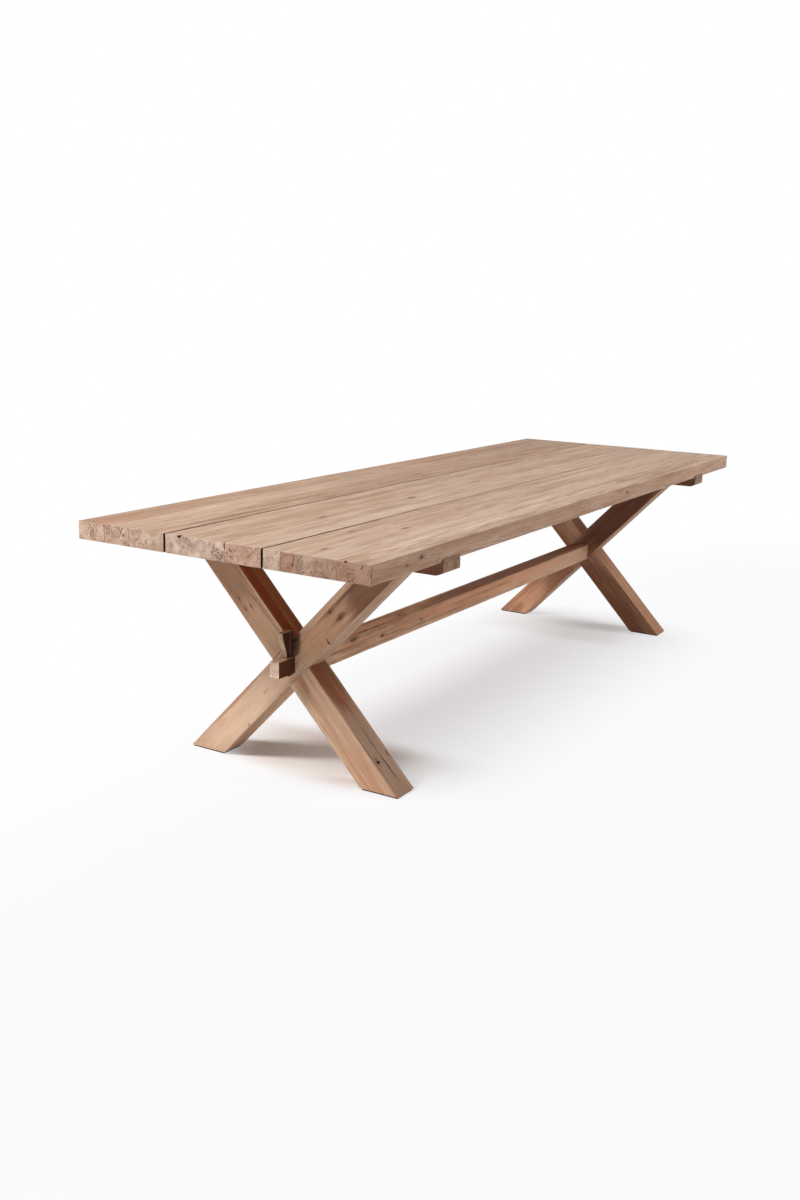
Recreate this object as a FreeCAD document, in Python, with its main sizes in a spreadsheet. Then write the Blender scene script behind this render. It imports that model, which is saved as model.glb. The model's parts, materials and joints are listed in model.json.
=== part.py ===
import FreeCAD, Part

# Sawbuck dining table: a top of three thick planks on two X trestles, tied by one long
# stretcher whose through tenons are locked outside the trestles by loose tusks.
#
# Frame: millimetres, +X along the table, +Y to the back, +Z up, origin on the floor
# under the middle of the top.  The left trestle stands at -X, the right one at +X.

import os
import re
import Sketcher
from FreeCAD import Placement, Rotation, Vector

SIZES = [
    # alias, value, what it measures
    ("table_length", 3000, "length of the top along X"),
    ("table_width", 1000, "width of the top along Y"),
    ("table_height", 770, "floor to the upper face of the top"),
    ("top_thickness", 54, "thickness of the planks"),
    ("middle_plank_width", 329, "width of the middle plank; the outer two share the rest"),
    ("middle_plank_shift", 7.5, "middle plank's middle behind the top's middle"),
    ("plank_gap", 6, "open gap between two planks"),
    ("back_stave_outer", 100, "back plank, stave at the table's edge"),
    ("back_stave_centre", 95, "back plank, second stave"),
    ("middle_stave_front", 121, "middle plank, front stave"),
    ("front_stave_inner", 57, "front plank, stave beside the gap"),
    ("front_stave_second", 55, "front plank, second stave"),
    ("front_stave_outer", 105, "front plank, stave at the table's edge"),
    ("trestle_inset", 347, "end of the top to the outer face of a trestle"),
    ("beam_depth", 94, "leg beam, thickness along X"),
    ("beam_width", 97, "leg beam, width across its length"),
    ("leg_angle", 46.6, "leg beam, degrees up from the floor"),
    ("crossing_lift", 4, "beams' crossing above the middle of their height"),
    ("leg_arris", 3, "chamfer along the leg beam's four long edges"),
    ("batten_width", 100, "batten under the top, along X"),
    ("batten_thickness", 48, "batten under the top, along Z"),
    ("batten_let_in", 9, "depth of the batten's housing in the planks"),
    ("batten_end_proud", 4, "how far a batten's ends stand out of the top's long sides"),
    ("batten_shift_in", 14, "batten's middle inboard of its trestle's middle"),
    ("dovetail_undercut", 4, "how much the housing is wider at its bottom, on each flank"),
    ("batten_bevel_run", 20, "bevel under each end of the batten, along Y"),
    ("batten_bevel_rise", 10, "bevel under each end of the batten, along Z"),
    ("batten_rounding", 10, "radius along the batten's lower edge under the table"),
    ("stub_length", 60, "stub tenon on top of a leg, along Y"),
    ("stub_thickness", 30, "stub tenon on top of a leg, along X"),
    ("stub_height", 30, "stub tenon on top of a leg, along Z"),
    ("stub_end_room", 2, "free depth of the stub's mortise"),
    ("peg_diameter", 10, "draw peg through the batten and the stub"),
    ("stretcher_width", 70, "stretcher along Y"),
    ("stretcher_height", 66, "stretcher along Z"),
    ("stretcher_drop", 8.5, "stretcher's middle below the crossing's centre"),
    ("tenon_side_shoulder", 17.5, "stretcher's shoulder beside its tenon"),
    ("tenon_top_shoulder", 1, "stretcher's shoulder above its tenon"),
    ("tenon_bottom_shoulder", 14, "stretcher's shoulder below its tenon"),
    ("tenon_reach", 79, "tenon's end beyond the trestle's outer face"),
    ("tenon_arris", 3, "chamfer round the tenon's end"),
    ("tusk_width", 18, "tusk along Y"),
    ("tusk_head_depth", 50, "tusk's depth along X at its head"),
    ("tusk_neck_depth", 29, "tusk's depth along X where it enters the tenon"),
    ("tusk_tip_depth", 24, "tusk's depth along X at its tip"),
    ("tusk_tip_drop", 8, "tusk's tip below the tenon"),
    ("left_tusk_head_height", 15, "full depth of the left tusk, along Z"),
    ("left_tusk_head_underside", 66, "lower end of the left tusk's full depth, above the tenon"),
    ("left_tusk_neck_top", 20, "upper end of the left tusk's taper, above the tenon"),
    ("left_tusk_curve_radius", 40, "rounding of the left tusk's outer edge"),
    ("right_tusk_head_height", 14, "full depth of the right tusk, along Z"),
    ("right_tusk_head_underside", 32, "lower end of the right tusk's full depth, above the tenon"),
    ("right_tusk_neck_top", 8, "upper end of the right tusk's taper, above the tenon"),
    ("right_tusk_curve_radius", 18, "rounding of the right tusk's outer edge"),
    ("tusk_side_play", 0.4, "free play on each side of the tusk in its mortise"),
    ("tusk_draw", 6, "mortise's inner wall inside the trestle's outer face"),
    ("pad_thickness", 5, "foot pad along Z"),
    ("pad_inset", 5, "foot pad's edge inside the foot's edge"),
    ("nail_spread", 50, "distance between a pad's two nails"),
    ("nail_shank_diameter", 3, "pad nail's shank"),
    ("nail_head_diameter", 8, "pad nail's head"),
    ("nail_head_thickness", 1.5, "pad nail's head along Z"),
    ("nail_sink", 1.5, "nail head's face above the floor"),
    ("nail_length", 20, "pad nail's shank above its head"),
    ("screw_shank_diameter", 6, "batten screw's shank"),
    ("screw_head_diameter", 12, "batten screw's countersunk head"),
    ("screw_head_height", 4, "batten screw's countersunk head along Z"),
    ("screw_bite", 25, "batten screw's length inside a plank"),
    ("screw_inset", 25, "outer plank's inner edge to its screw"),
]

# Sizes that follow from the ones above, each a formula in their names.
DERIVED = {
    "underside": "table_height - top_thickness",
    "outer_planks_mean": "(table_width - middle_plank_width) / 2 - plank_gap",
    "back_plank_width": "outer_planks_mean - middle_plank_shift",
    "front_plank_width": "outer_planks_mean + middle_plank_shift",
    "middle_plank_back": "middle_plank_width / 2 + middle_plank_shift",
    "trestle_face": "table_length / 2 - trestle_inset",
    "trestle_centre": "trestle_face - beam_depth / 2",
    "shoulder_face": "trestle_face - beam_depth",
    "batten_centre": "trestle_centre - batten_shift_in",
    "batten_tip": "table_width / 2 + batten_end_proud",
    "batten_top": "underside + batten_let_in",
    "batten_bottom": "batten_top - batten_thickness",
    "cross_height": "(batten_bottom + pad_thickness) / 2 + crossing_lift",
    "half_beam_level": "beam_width / (2 * sin(leg_angle))",
    "half_beam_upright": "beam_width / (2 * cos(leg_angle))",
    "foot_spread": "(cross_height - pad_thickness) / tan(leg_angle)",
    "head_spread": "(batten_bottom - cross_height) / tan(leg_angle)",
    "stretcher_middle": "cross_height - stretcher_drop",
    "tenon_tip": "trestle_face + tenon_reach",
    "stretcher_top": "stretcher_middle + stretcher_height / 2",
    "stretcher_bottom": "stretcher_middle - stretcher_height / 2",
    "tenon_half_width": "stretcher_width / 2 - tenon_side_shoulder",
    "tenon_top": "stretcher_top - tenon_top_shoulder",
    "tenon_bottom": "stretcher_bottom + tenon_bottom_shoulder",
    "tusk_taper": "(tusk_neck_depth - tusk_tip_depth) / (tenon_top - tenon_bottom + tusk_tip_drop)",
    "back_inner_edge": "middle_plank_back + plank_gap",
    "front_inner_edge": "middle_plank_back - middle_plank_width - plank_gap",
    "screw_shank_length": "batten_thickness + screw_bite - screw_head_height",
}

SHEET_NAME = "Sizes"
ALIASES = [alias for alias, value, meaning in SIZES]
OVERRUN = "10"  # how far a cutting shape runs past what it cuts
SAME = 0.01  # coordinates closer than this are one place
SIDES = {"left": -1, "right": 1}
HALF_TURN = Rotation(Vector(0, 0, 1), 180)
UPRIGHT_TO_ALONG_X = Rotation(Vector(0, 1, 0), 90)

doc = FreeCAD.newDocument("SawbuckTable")


def make_sheet():
    """The driving sizes, one row each: alias, value, meaning."""
    sheet = doc.addObject("Spreadsheet::Sheet", SHEET_NAME)
    for row, (alias, value, meaning) in enumerate(SIZES, start=1):
        sheet.set(f"A{row}", alias)
        sheet.set(f"B{row}", str(value))
        sheet.set(f"C{row}", meaning)
        sheet.setAlias(f"B{row}", alias)
    doc.recompute()


def formula(text):
    """Spell a formula out in sheet cells: derived names are opened up, aliases get their sheet."""
    def spell(match):
        word = match.group(0)
        if word in DERIVED:
            return "(" + formula(DERIVED[word]) + ")"
        return f"{SHEET_NAME}.{word}" if word in ALIASES else word
    return re.sub(r"[A-Za-z_]+", spell, text)


def bind(item, **sizes):
    """Bind properties of an object to formulas."""
    for prop, text in sizes.items():
        item.setExpression(prop, formula(text))


def place(item, x="0", y="0", z="0", turn=Rotation()):
    """Put an object at a bound place, turned if asked."""
    item.Placement = Placement(Vector(), turn)
    for axis, text in (("x", x), ("y", y), ("z", z)):
        item.setExpression(f".Placement.Base.{axis}", formula(text))


# ---- PartDesign helpers ------------------------------------------------------------

def new_body(label):
    body = doc.addObject("PartDesign::Body", label)
    body.Label = label
    return body


def new_sketch(body, name, plane):
    """A sketch on one of the body's own origin planes: XY, XZ or YZ."""
    sketch = body.newObject("Sketcher::SketchObject", name)
    origin_plane = [item for item in body.Origin.OriginFeatures if item.Role == plane + "_Plane"][0]
    sketch.AttachmentSupport = [(origin_plane, "")]
    sketch.MapMode = "FlatFace"
    return sketch


def value_of(text):
    """The number a formula gives now, to draw a sketch in its solved shape and to find edges."""
    return float(doc.getObject(SHEET_NAME).evalExpression(formula(text)))


def pin_point(sketch, edge, vertex, across, up):
    """Hold a sketch point at a bound distance from the sketch's origin."""
    for kind, text in (("DistanceX", across), ("DistanceY", up)):
        number = sketch.addConstraint(Sketcher.Constraint(kind, -1, 1, edge, vertex, value_of(text)))
        sketch.setExpression(f"Constraints[{number}]", formula(text))


def polygon(body, name, plane, corners):
    """A closed outline whose corners are formulas (across, up) in the plane."""
    sketch = new_sketch(body, name, plane)
    points = [Vector(value_of(across), value_of(up), 0) for across, up in corners]
    count = len(points)
    for number, start in enumerate(points):
        sketch.addGeometry(Part.LineSegment(start, points[(number + 1) % count]), False)
    for number in range(count):
        sketch.addConstraint(Sketcher.Constraint("Coincident", number, 2, (number + 1) % count, 1))
    for number, (across, up) in enumerate(corners):
        pin_point(sketch, number, 1, across, up)
    return sketch


def rectangle(body, name, plane, low, high):
    (left, bottom), (right, top) = low, high
    return polygon(body, name, plane, [(left, bottom), (right, bottom), (right, top), (left, top)])


def circle(body, name, plane, centre, diameter):
    sketch = new_sketch(body, name, plane)
    middle = Vector(value_of(centre[0]), value_of(centre[1]), 0)
    sketch.addGeometry(Part.Circle(middle, Vector(0, 0, 1), value_of(diameter) / 2), False)
    pin_point(sketch, 0, 3, *centre)
    number = sketch.addConstraint(Sketcher.Constraint("Diameter", 0, value_of(diameter)))
    sketch.setExpression(f"Constraints[{number}]", formula(diameter))
    return sketch


def pad(body, sketch, length):
    """Thicken a sketch by a bound length, half to each side of its plane."""
    feature = body.newObject("PartDesign::Pad", sketch.Name + "_pad")
    feature.Profile = sketch
    feature.Midplane = True
    bind(feature, Length=length)
    doc.recompute()
    return feature


def pocket(body, sketch, length, one_way=False, backwards=False):
    """Cut a sketch by a bound length, to both sides of its plane or to one."""
    before = body.Shape.Volume
    feature = body.newObject("PartDesign::Pocket", sketch.Name + "_pocket")
    feature.Profile = sketch
    feature.Midplane = not one_way
    feature.Reversed = backwards
    bind(feature, Length=length)
    doc.recompute()
    if not body.Shape.Volume < before:
        raise RuntimeError(f"{feature.Name} cuts nothing")
    return feature


def ease(kind, body, base, wanted, **size):
    """Fillet or chamfer those edges of a feature that wanted(start, end) picks by their ends."""
    names = []
    for number, edge in enumerate(base.Shape.Edges, start=1):
        start, end = (vertex.Point for vertex in edge.Vertexes)
        if wanted(start, end):
            names.append(f"Edge{number}")
    feature = body.newObject("PartDesign::" + kind, base.Name + "_eased")
    feature.Base = (base, names)
    bind(feature, **size)
    doc.recompute()


def same(value, text):
    return abs(value - value_of(text)) < SAME


# ---- Fasteners and cutting shapes --------------------------------------------------

def cylinder(name, diameter, height, **where):
    item = doc.addObject("Part::Cylinder", name)
    bind(item, Radius=f"({diameter}) / 2", Height=height)
    place(item, **where)
    return item


def group(kind, label, members):
    """A Part::Compound or Part::MultiFuse of several objects."""
    item = doc.addObject(kind, label)
    item.Label = label
    if kind == "Part::Compound":
        item.Links = members
    else:
        item.Shapes = members
    return item


def cut(label, base, tool):
    item = doc.addObject("Part::Cut", label)
    item.Label = label
    item.Base = base
    item.Tool = tool
    return item


def batten_screws(side):
    """Three countersunk wood screws, one into each plank, driven up through the batten."""
    x = f"{SIDES[side]} * batten_centre"
    screws = []
    for place_name, y in (("front", "front_inner_edge - screw_inset"), ("middle", "middle_plank_shift"),
                          ("back", "back_inner_edge + screw_inset")):
        name = f"{side}_{place_name}_screw"
        head = doc.addObject("Part::Cone", name + "_head")
        bind(head, Radius1="screw_head_diameter / 2", Radius2="screw_shank_diameter / 2",
             Height="screw_head_height")
        place(head, x, y, "batten_bottom")
        shank = cylinder(name + "_shank", "screw_shank_diameter", "screw_shank_length",
                         x=x, y=y, z="batten_bottom + screw_head_height")
        screws.append(group("Part::MultiFuse", name, [head, shank]))
    return group("Part::Compound", f"{side}_batten_screws", screws)


def dovetail_corners(bottom):
    """The batten's section from a given bottom up: shoulders at the underside, flared flanks."""
    neck = "batten_width / 2 - dovetail_undercut"
    right = [("batten_width / 2", bottom), ("batten_width / 2", "underside"), (neck, "underside"),
             ("batten_width / 2", "batten_top")]
    left = [(f"-({across})", up) for across, up in reversed(right)]
    return right + left


def housing_cutter(side):
    """What a batten takes out of the planks: its dovetail, and free air below it."""
    body = new_body(f"{side}_housing_cutter")
    outline = polygon(body, f"{side}_housing_outline", "XZ",
                      dovetail_corners(f"underside - {OVERRUN}"))
    pad(body, outline, f"table_width + 2 * {OVERRUN}")
    place(body, f"{SIDES[side]} * batten_centre")
    return body


# ---- The top ------------------------------------------------------------------------

def plank(label, back_edge, width, stave_widths, cutter):
    """Glued staves side by side from a plank's back edge; the one without a width takes the rest."""
    known = " - ".join(f"({text})" for text in stave_widths if text)
    rest = f"({width}) - {known}"
    staves = []
    covered = "0"
    for number, text in enumerate(stave_widths, start=1):
        stave_width = text or rest
        covered = f"{covered} + {stave_width}"
        name = f"{label}_stave_{number}"
        board = doc.addObject("Part::Box", name + "_board")
        bind(board, Length="table_length", Width=stave_width, Height="top_thickness")
        place(board, "-table_length / 2", f"{back_edge} - ({covered})", "underside")
        staves.append(cut(name, board, cutter))
    return staves


def planks(cutter):
    back = plank("back_plank", "table_width / 2", "back_plank_width",
                 ["back_stave_outer", "back_stave_centre", None], cutter)
    middle = plank("middle_plank", "middle_plank_back", "middle_plank_width",
                   [None, "middle_stave_front"], cutter)
    front = plank("front_plank", "front_inner_edge", "front_plank_width",
                  ["front_stave_inner", "front_stave_second", None, "front_stave_outer"], cutter)
    return back + middle + front


def batten(side, screws):
    """Dovetailed cross batten: bevelled ends, mortises for the leg stubs, peg and screw holes."""
    label = f"{side}_batten"
    body = new_body(label + "_blank")
    outline = polygon(body, label + "_outline", "XZ", dovetail_corners("batten_bottom"))
    blank = pad(body, outline, "2 * batten_tip")
    inner_flank = f"-{SIDES[side]} * batten_width / 2"

    def lower_inner(start, end):
        return all(same(point.x, inner_flank) and same(point.z, "batten_bottom")
                   for point in (start, end))

    ease("Fillet", body, blank, lower_inner, Radius="batten_rounding")
    for end, sign in (("front", "-1"), ("back", "1")):
        tip = f"{sign} * batten_tip"
        heel = f"{sign} * (batten_tip - batten_bevel_run)"
        slope = polygon(body, f"{label}_{end}_bevel", "YZ",
                        [(heel, "batten_bottom"), (tip, "batten_bottom"),
                         (tip, "batten_bottom + batten_bevel_rise")])
        pocket(body, slope, f"batten_width + {OVERRUN}")
        middle = f"{sign} * head_spread"
        mortise = rectangle(body, f"{label}_{end}_mortise", "YZ",
                            (f"{middle} - stub_length / 2", f"batten_bottom - {OVERRUN}"),
                            (f"{middle} + stub_length / 2",
                             "batten_bottom + stub_height + stub_end_room"))
        mortise.setExpression(".AttachmentOffset.Base.z", formula(f"{SIDES[side]} * batten_shift_in"))
        pocket(body, mortise, "stub_thickness")
        hole = circle(body, f"{label}_{end}_peg_hole", "YZ",
                      (middle, "batten_bottom + stub_height / 2"), "peg_diameter")
        pocket(body, hole, f"batten_width + {OVERRUN}")
    place(body, f"{SIDES[side]} * batten_centre")
    return cut(label, body, screws)


# ---- The trestles -------------------------------------------------------------------

def beam_corners(lean):
    """A leaning beam cut level at both ends; lean 1 has its top at +Y, -1 at -Y."""
    top = f"{lean} * head_spread"
    foot = f"{-lean} * foot_spread"
    return [(f"{foot} - half_beam_level", "pad_thickness"),
            (f"{foot} + half_beam_level", "pad_thickness"),
            (f"{top} + half_beam_level", "batten_bottom"),
            (f"{top} - half_beam_level", "batten_bottom")]


def leg(side, foot_side, lean, laps_outside, nails):
    """One beam of an X: halved at the crossing, mortised for the stretcher, stubbed on top."""
    label = f"{side}_leg_{foot_side}_foot"
    body = new_body(label + "_beam")
    beam = pad(body, polygon(body, label + "_outline", "YZ", beam_corners(lean)), "beam_depth")

    def leaning(start, end):
        return abs(start.y - end.y) > SAME and abs(start.z - end.z) > SAME

    ease("Chamfer", body, beam, leaning, Size="leg_arris")
    stub = rectangle(body, label + "_stub", "YZ",
                     (f"{lean} * head_spread - stub_length / 2", "batten_bottom"),
                     (f"{lean} * head_spread + stub_length / 2", "batten_bottom + stub_height"))
    pad(body, stub, "stub_thickness")
    hole = circle(body, label + "_peg_hole", "YZ",
                  (f"{lean} * head_spread", "batten_bottom + stub_height / 2"), "peg_diameter")
    pocket(body, hole, "beam_depth")
    lap = polygon(body, label + "_lap", "YZ",
                  [("0", "cross_height - half_beam_upright"), ("half_beam_level", "cross_height"),
                   ("0", "cross_height + half_beam_upright"), ("-half_beam_level", "cross_height")])
    pocket(body, lap, f"beam_depth / 2 + {OVERRUN}", one_way=True, backwards=laps_outside)
    mortise = rectangle(body, label + "_mortise", "YZ", ("-tenon_half_width", "tenon_bottom"),
                        ("tenon_half_width", "tenon_top"))
    pocket(body, mortise, f"beam_depth + {OVERRUN}")
    place(body, f"{SIDES[side]} * trestle_centre", turn=HALF_TURN if side == "right" else Rotation())
    return cut(label, body, nails)


def trestle_legs(side, nails):
    """The right trestle is the left one turned half round, so its feet swap sides."""
    outer_foot, inner_foot = ("back", "front") if side == "left" else ("front", "back")
    return [leg(side, outer_foot, -1, False, nails), leg(side, inner_foot, 1, True, nails)]


def leg_pegs(side):
    """Two wooden draw pegs, each through the batten and a leg's stub."""
    pegs = []
    for end, sign in (("front", "-1"), ("back", "1")):
        pegs.append(cylinder(f"{side}_{end}_peg", "peg_diameter", "batten_width",
                             x=f"{SIDES[side]} * batten_centre - batten_width / 2",
                             y=f"{sign} * head_spread", z="batten_bottom + stub_height / 2",
                             turn=UPRIGHT_TO_ALONG_X))
    return group("Part::Compound", f"{side}_leg_pegs", pegs)


# ---- The stretcher and its tusks -----------------------------------------------------

def tusk_wall(level):
    """Depth of the tusk's tapered outer edge at a height above the tenon's top."""
    return f"(tusk_neck_depth + tusk_taper * ({level}))"


def stretcher():
    """Long rail with a through tenon at each end, each with an upright tapered mortise."""
    body = new_body("stretcher")
    rail = rectangle(body, "stretcher_section", "YZ", ("-stretcher_width / 2", "stretcher_bottom"),
                     ("stretcher_width / 2", "stretcher_top"))
    pad(body, rail, "2 * shoulder_face")
    tenon = rectangle(body, "tenon_section", "YZ", ("-tenon_half_width", "tenon_bottom"),
                      ("tenon_half_width", "tenon_top"))
    rail_and_tenons = pad(body, tenon, "2 * tenon_tip")

    def at_a_tip(start, end):
        return all(same(abs(point.x), "tenon_tip") for point in (start, end))

    ease("Chamfer", body, rail_and_tenons, at_a_tip, Size="tenon_arris")
    for side, sign in SIDES.items():
        inner = f"{sign} * (trestle_face - tusk_draw)"
        upper = f"{sign} * (trestle_face + {tusk_wall(OVERRUN)})"
        lower = f"{sign} * (trestle_face + {tusk_wall(f'tenon_bottom - tenon_top - {OVERRUN}')})"
        mortise = polygon(body, f"{side}_tusk_mortise", "XZ",
                          [(inner, f"tenon_bottom - {OVERRUN}"), (lower, f"tenon_bottom - {OVERRUN}"),
                           (upper, f"tenon_top + {OVERRUN}"), (inner, f"tenon_top + {OVERRUN}")])
        pocket(body, mortise, "tusk_width + 2 * tusk_side_play")
    return body


def tusk(side):
    """Loose key: flat against the trestle, tapered through the tenon, with a swelling head."""
    label = f"{side}_tusk"
    neck_top, head_underside = f"{label}_neck_top", f"{label}_head_underside"
    head_top = f"{head_underside} + {label}_head_height"
    sign = SIDES[side]
    body = new_body(label)

    def out(depth):
        return f"{sign} * ({depth})"

    outline = polygon(body, label + "_outline", "XZ", [
        ("0", "tenon_bottom - tusk_tip_drop"),
        (out("tusk_tip_depth"), "tenon_bottom - tusk_tip_drop"),
        (out(tusk_wall(neck_top)), f"tenon_top + {neck_top}"),
        (out("tusk_head_depth"), f"tenon_top + {head_underside}"),
        (out("tusk_head_depth"), f"tenon_top + {head_top}"),
        ("0", f"tenon_top + {head_top}"),
    ])
    blank = pad(body, outline, "tusk_width")

    def at_a_bend(start, end):
        return any(same(start.z, bend) and same(end.z, bend)
                   for bend in (f"tenon_top + {neck_top}", f"tenon_top + {head_underside}"))

    ease("Fillet", body, blank, at_a_bend, Radius=f"{label}_curve_radius")
    place(body, f"{sign} * trestle_face")
    return body


# ---- The feet ------------------------------------------------------------------------

def foot_places():
    """Every foot's name with its bound centre on the floor."""
    for side, sign in SIDES.items():
        for end, y in (("front", "-foot_spread"), ("back", "foot_spread")):
            yield f"{side}_{end}", f"{sign} * trestle_centre", y


def pad_nail(name, x, y):
    """A flat-headed nail driven up through the pad into the foot."""
    head = cylinder(name + "_head", "nail_head_diameter", "nail_head_thickness",
                    x=x, y=y, z="nail_sink")
    shank = cylinder(name + "_shank", "nail_shank_diameter", "nail_length",
                     x=x, y=y, z="nail_sink + nail_head_thickness")
    return group("Part::MultiFuse", name, [head, shank])


def feet():
    """Four pads, each held by two sunk nails; returns the pads and the group of nails."""
    pads, nails = [], []
    for name, x, y in foot_places():
        plate = doc.addObject("Part::Box", name + "_pad_plate")
        bind(plate, Length="beam_depth - 2 * pad_inset",
             Width="2 * (half_beam_level - pad_inset)", Height="pad_thickness")
        place(plate, f"{x} - (beam_depth / 2 - pad_inset)",
              f"{y} - (half_beam_level - pad_inset)")
        pair, recesses = [], []
        for number, sign in enumerate((-1, 1), start=1):
            nail_y = f"{y} + {sign} * nail_spread / 2"
            pair.append(pad_nail(f"{name}_nail_{number}", x, nail_y))
            recesses.append(cylinder(f"{name}_recess_{number}", "nail_head_diameter",
                                     "nail_sink", x=x, y=nail_y))
        nails += pair
        tool = group("Part::MultiFuse", name + "_pad_holes", pair + recesses)
        pads.append(cut(f"{name}_foot_pad", plate, tool))
    return pads, group("Part::Compound", "foot_pad_nails", nails)


# ---- Assembly and export ---------------------------------------------------------------

def build():
    make_sheet()
    screws = {side: batten_screws(side) for side in SIDES}
    cutter = group("Part::MultiFuse", "plank_cutter",
                   [housing_cutter(side) for side in SIDES] + list(screws.values()))
    parts = planks(cutter) + list(screws.values())
    pads, nails = feet()
    for side in SIDES:
        parts.append(batten(side, screws[side]))
        parts += trestle_legs(side, nails)
        parts += [leg_pegs(side), tusk(side)]
    parts.append(stretcher())
    return parts + pads + [nails]


def check(parts):
    """Stop on any failed object, and on a sub-part that is null or not valid."""
    doc.recompute()
    for item in doc.Objects:
        if "Invalid" in item.State or "Error" in item.State:
            raise RuntimeError(f"{item.Label} failed: {item.State}")
    for item in parts:
        if item.Shape.isNull() or not item.Shape.isValid():
            raise RuntimeError(f"{item.Label} has no valid shape")


def export(parts):
    os.makedirs("parts", exist_ok=True)
    for item in parts:
        item.Shape.exportStep(os.path.join("parts", item.Label + ".step"))
        print(f"{item.Label}: {len(item.Shape.Solids)} solid(s), {item.Shape.Volume:.0f} mm3")


sub_parts = build()
check(sub_parts)
export(sub_parts)
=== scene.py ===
"""Sawbuck dining table: weathered timber dressed around the table's fixed frame."""

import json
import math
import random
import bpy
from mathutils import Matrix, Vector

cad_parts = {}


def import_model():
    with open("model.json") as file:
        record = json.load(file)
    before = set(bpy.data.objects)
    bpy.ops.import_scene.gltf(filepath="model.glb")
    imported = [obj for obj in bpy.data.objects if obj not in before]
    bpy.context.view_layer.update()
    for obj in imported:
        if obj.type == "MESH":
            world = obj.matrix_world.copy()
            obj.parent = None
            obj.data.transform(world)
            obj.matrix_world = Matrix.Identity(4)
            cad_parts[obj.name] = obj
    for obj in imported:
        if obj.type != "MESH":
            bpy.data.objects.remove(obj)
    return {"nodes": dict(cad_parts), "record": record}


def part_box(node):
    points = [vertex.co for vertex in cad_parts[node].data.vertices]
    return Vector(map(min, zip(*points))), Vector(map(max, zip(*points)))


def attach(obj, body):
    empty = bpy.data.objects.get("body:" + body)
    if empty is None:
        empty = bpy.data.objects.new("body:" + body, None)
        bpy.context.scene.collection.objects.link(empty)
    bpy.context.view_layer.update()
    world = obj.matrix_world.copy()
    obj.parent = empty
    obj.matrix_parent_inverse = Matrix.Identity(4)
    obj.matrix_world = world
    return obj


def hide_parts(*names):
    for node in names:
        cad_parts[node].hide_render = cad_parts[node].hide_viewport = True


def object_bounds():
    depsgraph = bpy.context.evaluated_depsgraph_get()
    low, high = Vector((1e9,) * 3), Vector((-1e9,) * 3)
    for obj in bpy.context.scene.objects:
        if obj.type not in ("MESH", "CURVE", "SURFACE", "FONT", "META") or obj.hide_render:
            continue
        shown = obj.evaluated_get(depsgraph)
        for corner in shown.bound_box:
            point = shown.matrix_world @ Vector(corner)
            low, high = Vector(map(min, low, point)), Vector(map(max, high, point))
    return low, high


bl_info = {
    "name": "Sawbuck Table",
    "version": (1, 0, 0),
    "blender": (4, 5, 0),
    "location": "View3D > Sidebar > Sawbuck Table",
    "description": "Worn planks, trestles, stretcher and tusks of a sawbuck table, with its stage",
    "category": "Add Mesh",
}

import bmesh
import bpy
from bpy.props import FloatProperty, FloatVectorProperty, PointerProperty
from mathutils import Matrix, Vector

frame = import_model()
CAD_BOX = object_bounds()

MM = 0.001
SIDES = {"left": -1, "right": 1}
ENDS = {"front": -1, "back": 1}
ALONG, ACROSS, UP = Vector((1, 0, 0)), Vector((0, 1, 0)), Vector((0, 0, 1))

# Joinery that the nodes' boxes don't show.
PAD_INSET = 5 * MM
STUB = Vector((30, 60, 30)) * MM
TENON_SIDE_SHOULDER = 17.5 * MM
TENON_TOP_SHOULDER = 1 * MM
TENON_BOTTOM_SHOULDER = 14 * MM
TENON_ROOT = 60 * MM
TUSK_DRAW = 6 * MM
DOVETAIL_UNDERCUT = 4 * MM
BATTEN_BEVEL_RUN, BATTEN_BEVEL_RISE = 20 * MM, 10 * MM
BATTEN_ROUNDING = 10 * MM
PEG_RADIUS = 5 * MM
PEG_CROWN, PEG_FACE_HEIGHT, PEG_SIDES = 0.9 * MM, 2 * MM, 9
SCREW_HEAD, SCREW_SHANK, SCREW_HEAD_HEIGHT = 6 * MM, 3 * MM, 4 * MM
SCREW_TIP, SLOT_WIDTH, SLOT_DEPTH = 0.5 * MM, 1.2 * MM, 1.3 * MM
NAIL_HEAD, NAIL_SHANK, NAIL_HEAD_HEIGHT, NAIL_SINK = 4 * MM, 1.5 * MM, 1.5 * MM, 1.5 * MM
NAIL_SPREAD, NAIL_TIP, NAIL_CROWN = 50 * MM, 0.3 * MM, 0.5 * MM
TUSK_NECK_TOP = {"left": 20 * MM, "right": 8 * MM}
TUSK_HEAD_UNDERSIDE = {"left": 66 * MM, "right": 32 * MM}
TUSK_TIP, TUSK_NECK = 24 * MM, 29 * MM
FIT = 0.4 * MM
OVERRUN = 10 * MM


def srgb(*levels):
    """A colour written as 0-255 screen levels, as the linear numbers that a socket takes."""
    shares = [level / 255 for level in levels]
    linear = [s / 12.92 if s <= 0.04045 else ((s + 0.055) / 1.055) ** 2.4 for s in shares]
    return (*linear, 1.0)


# ---- Places read from the frame

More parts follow.
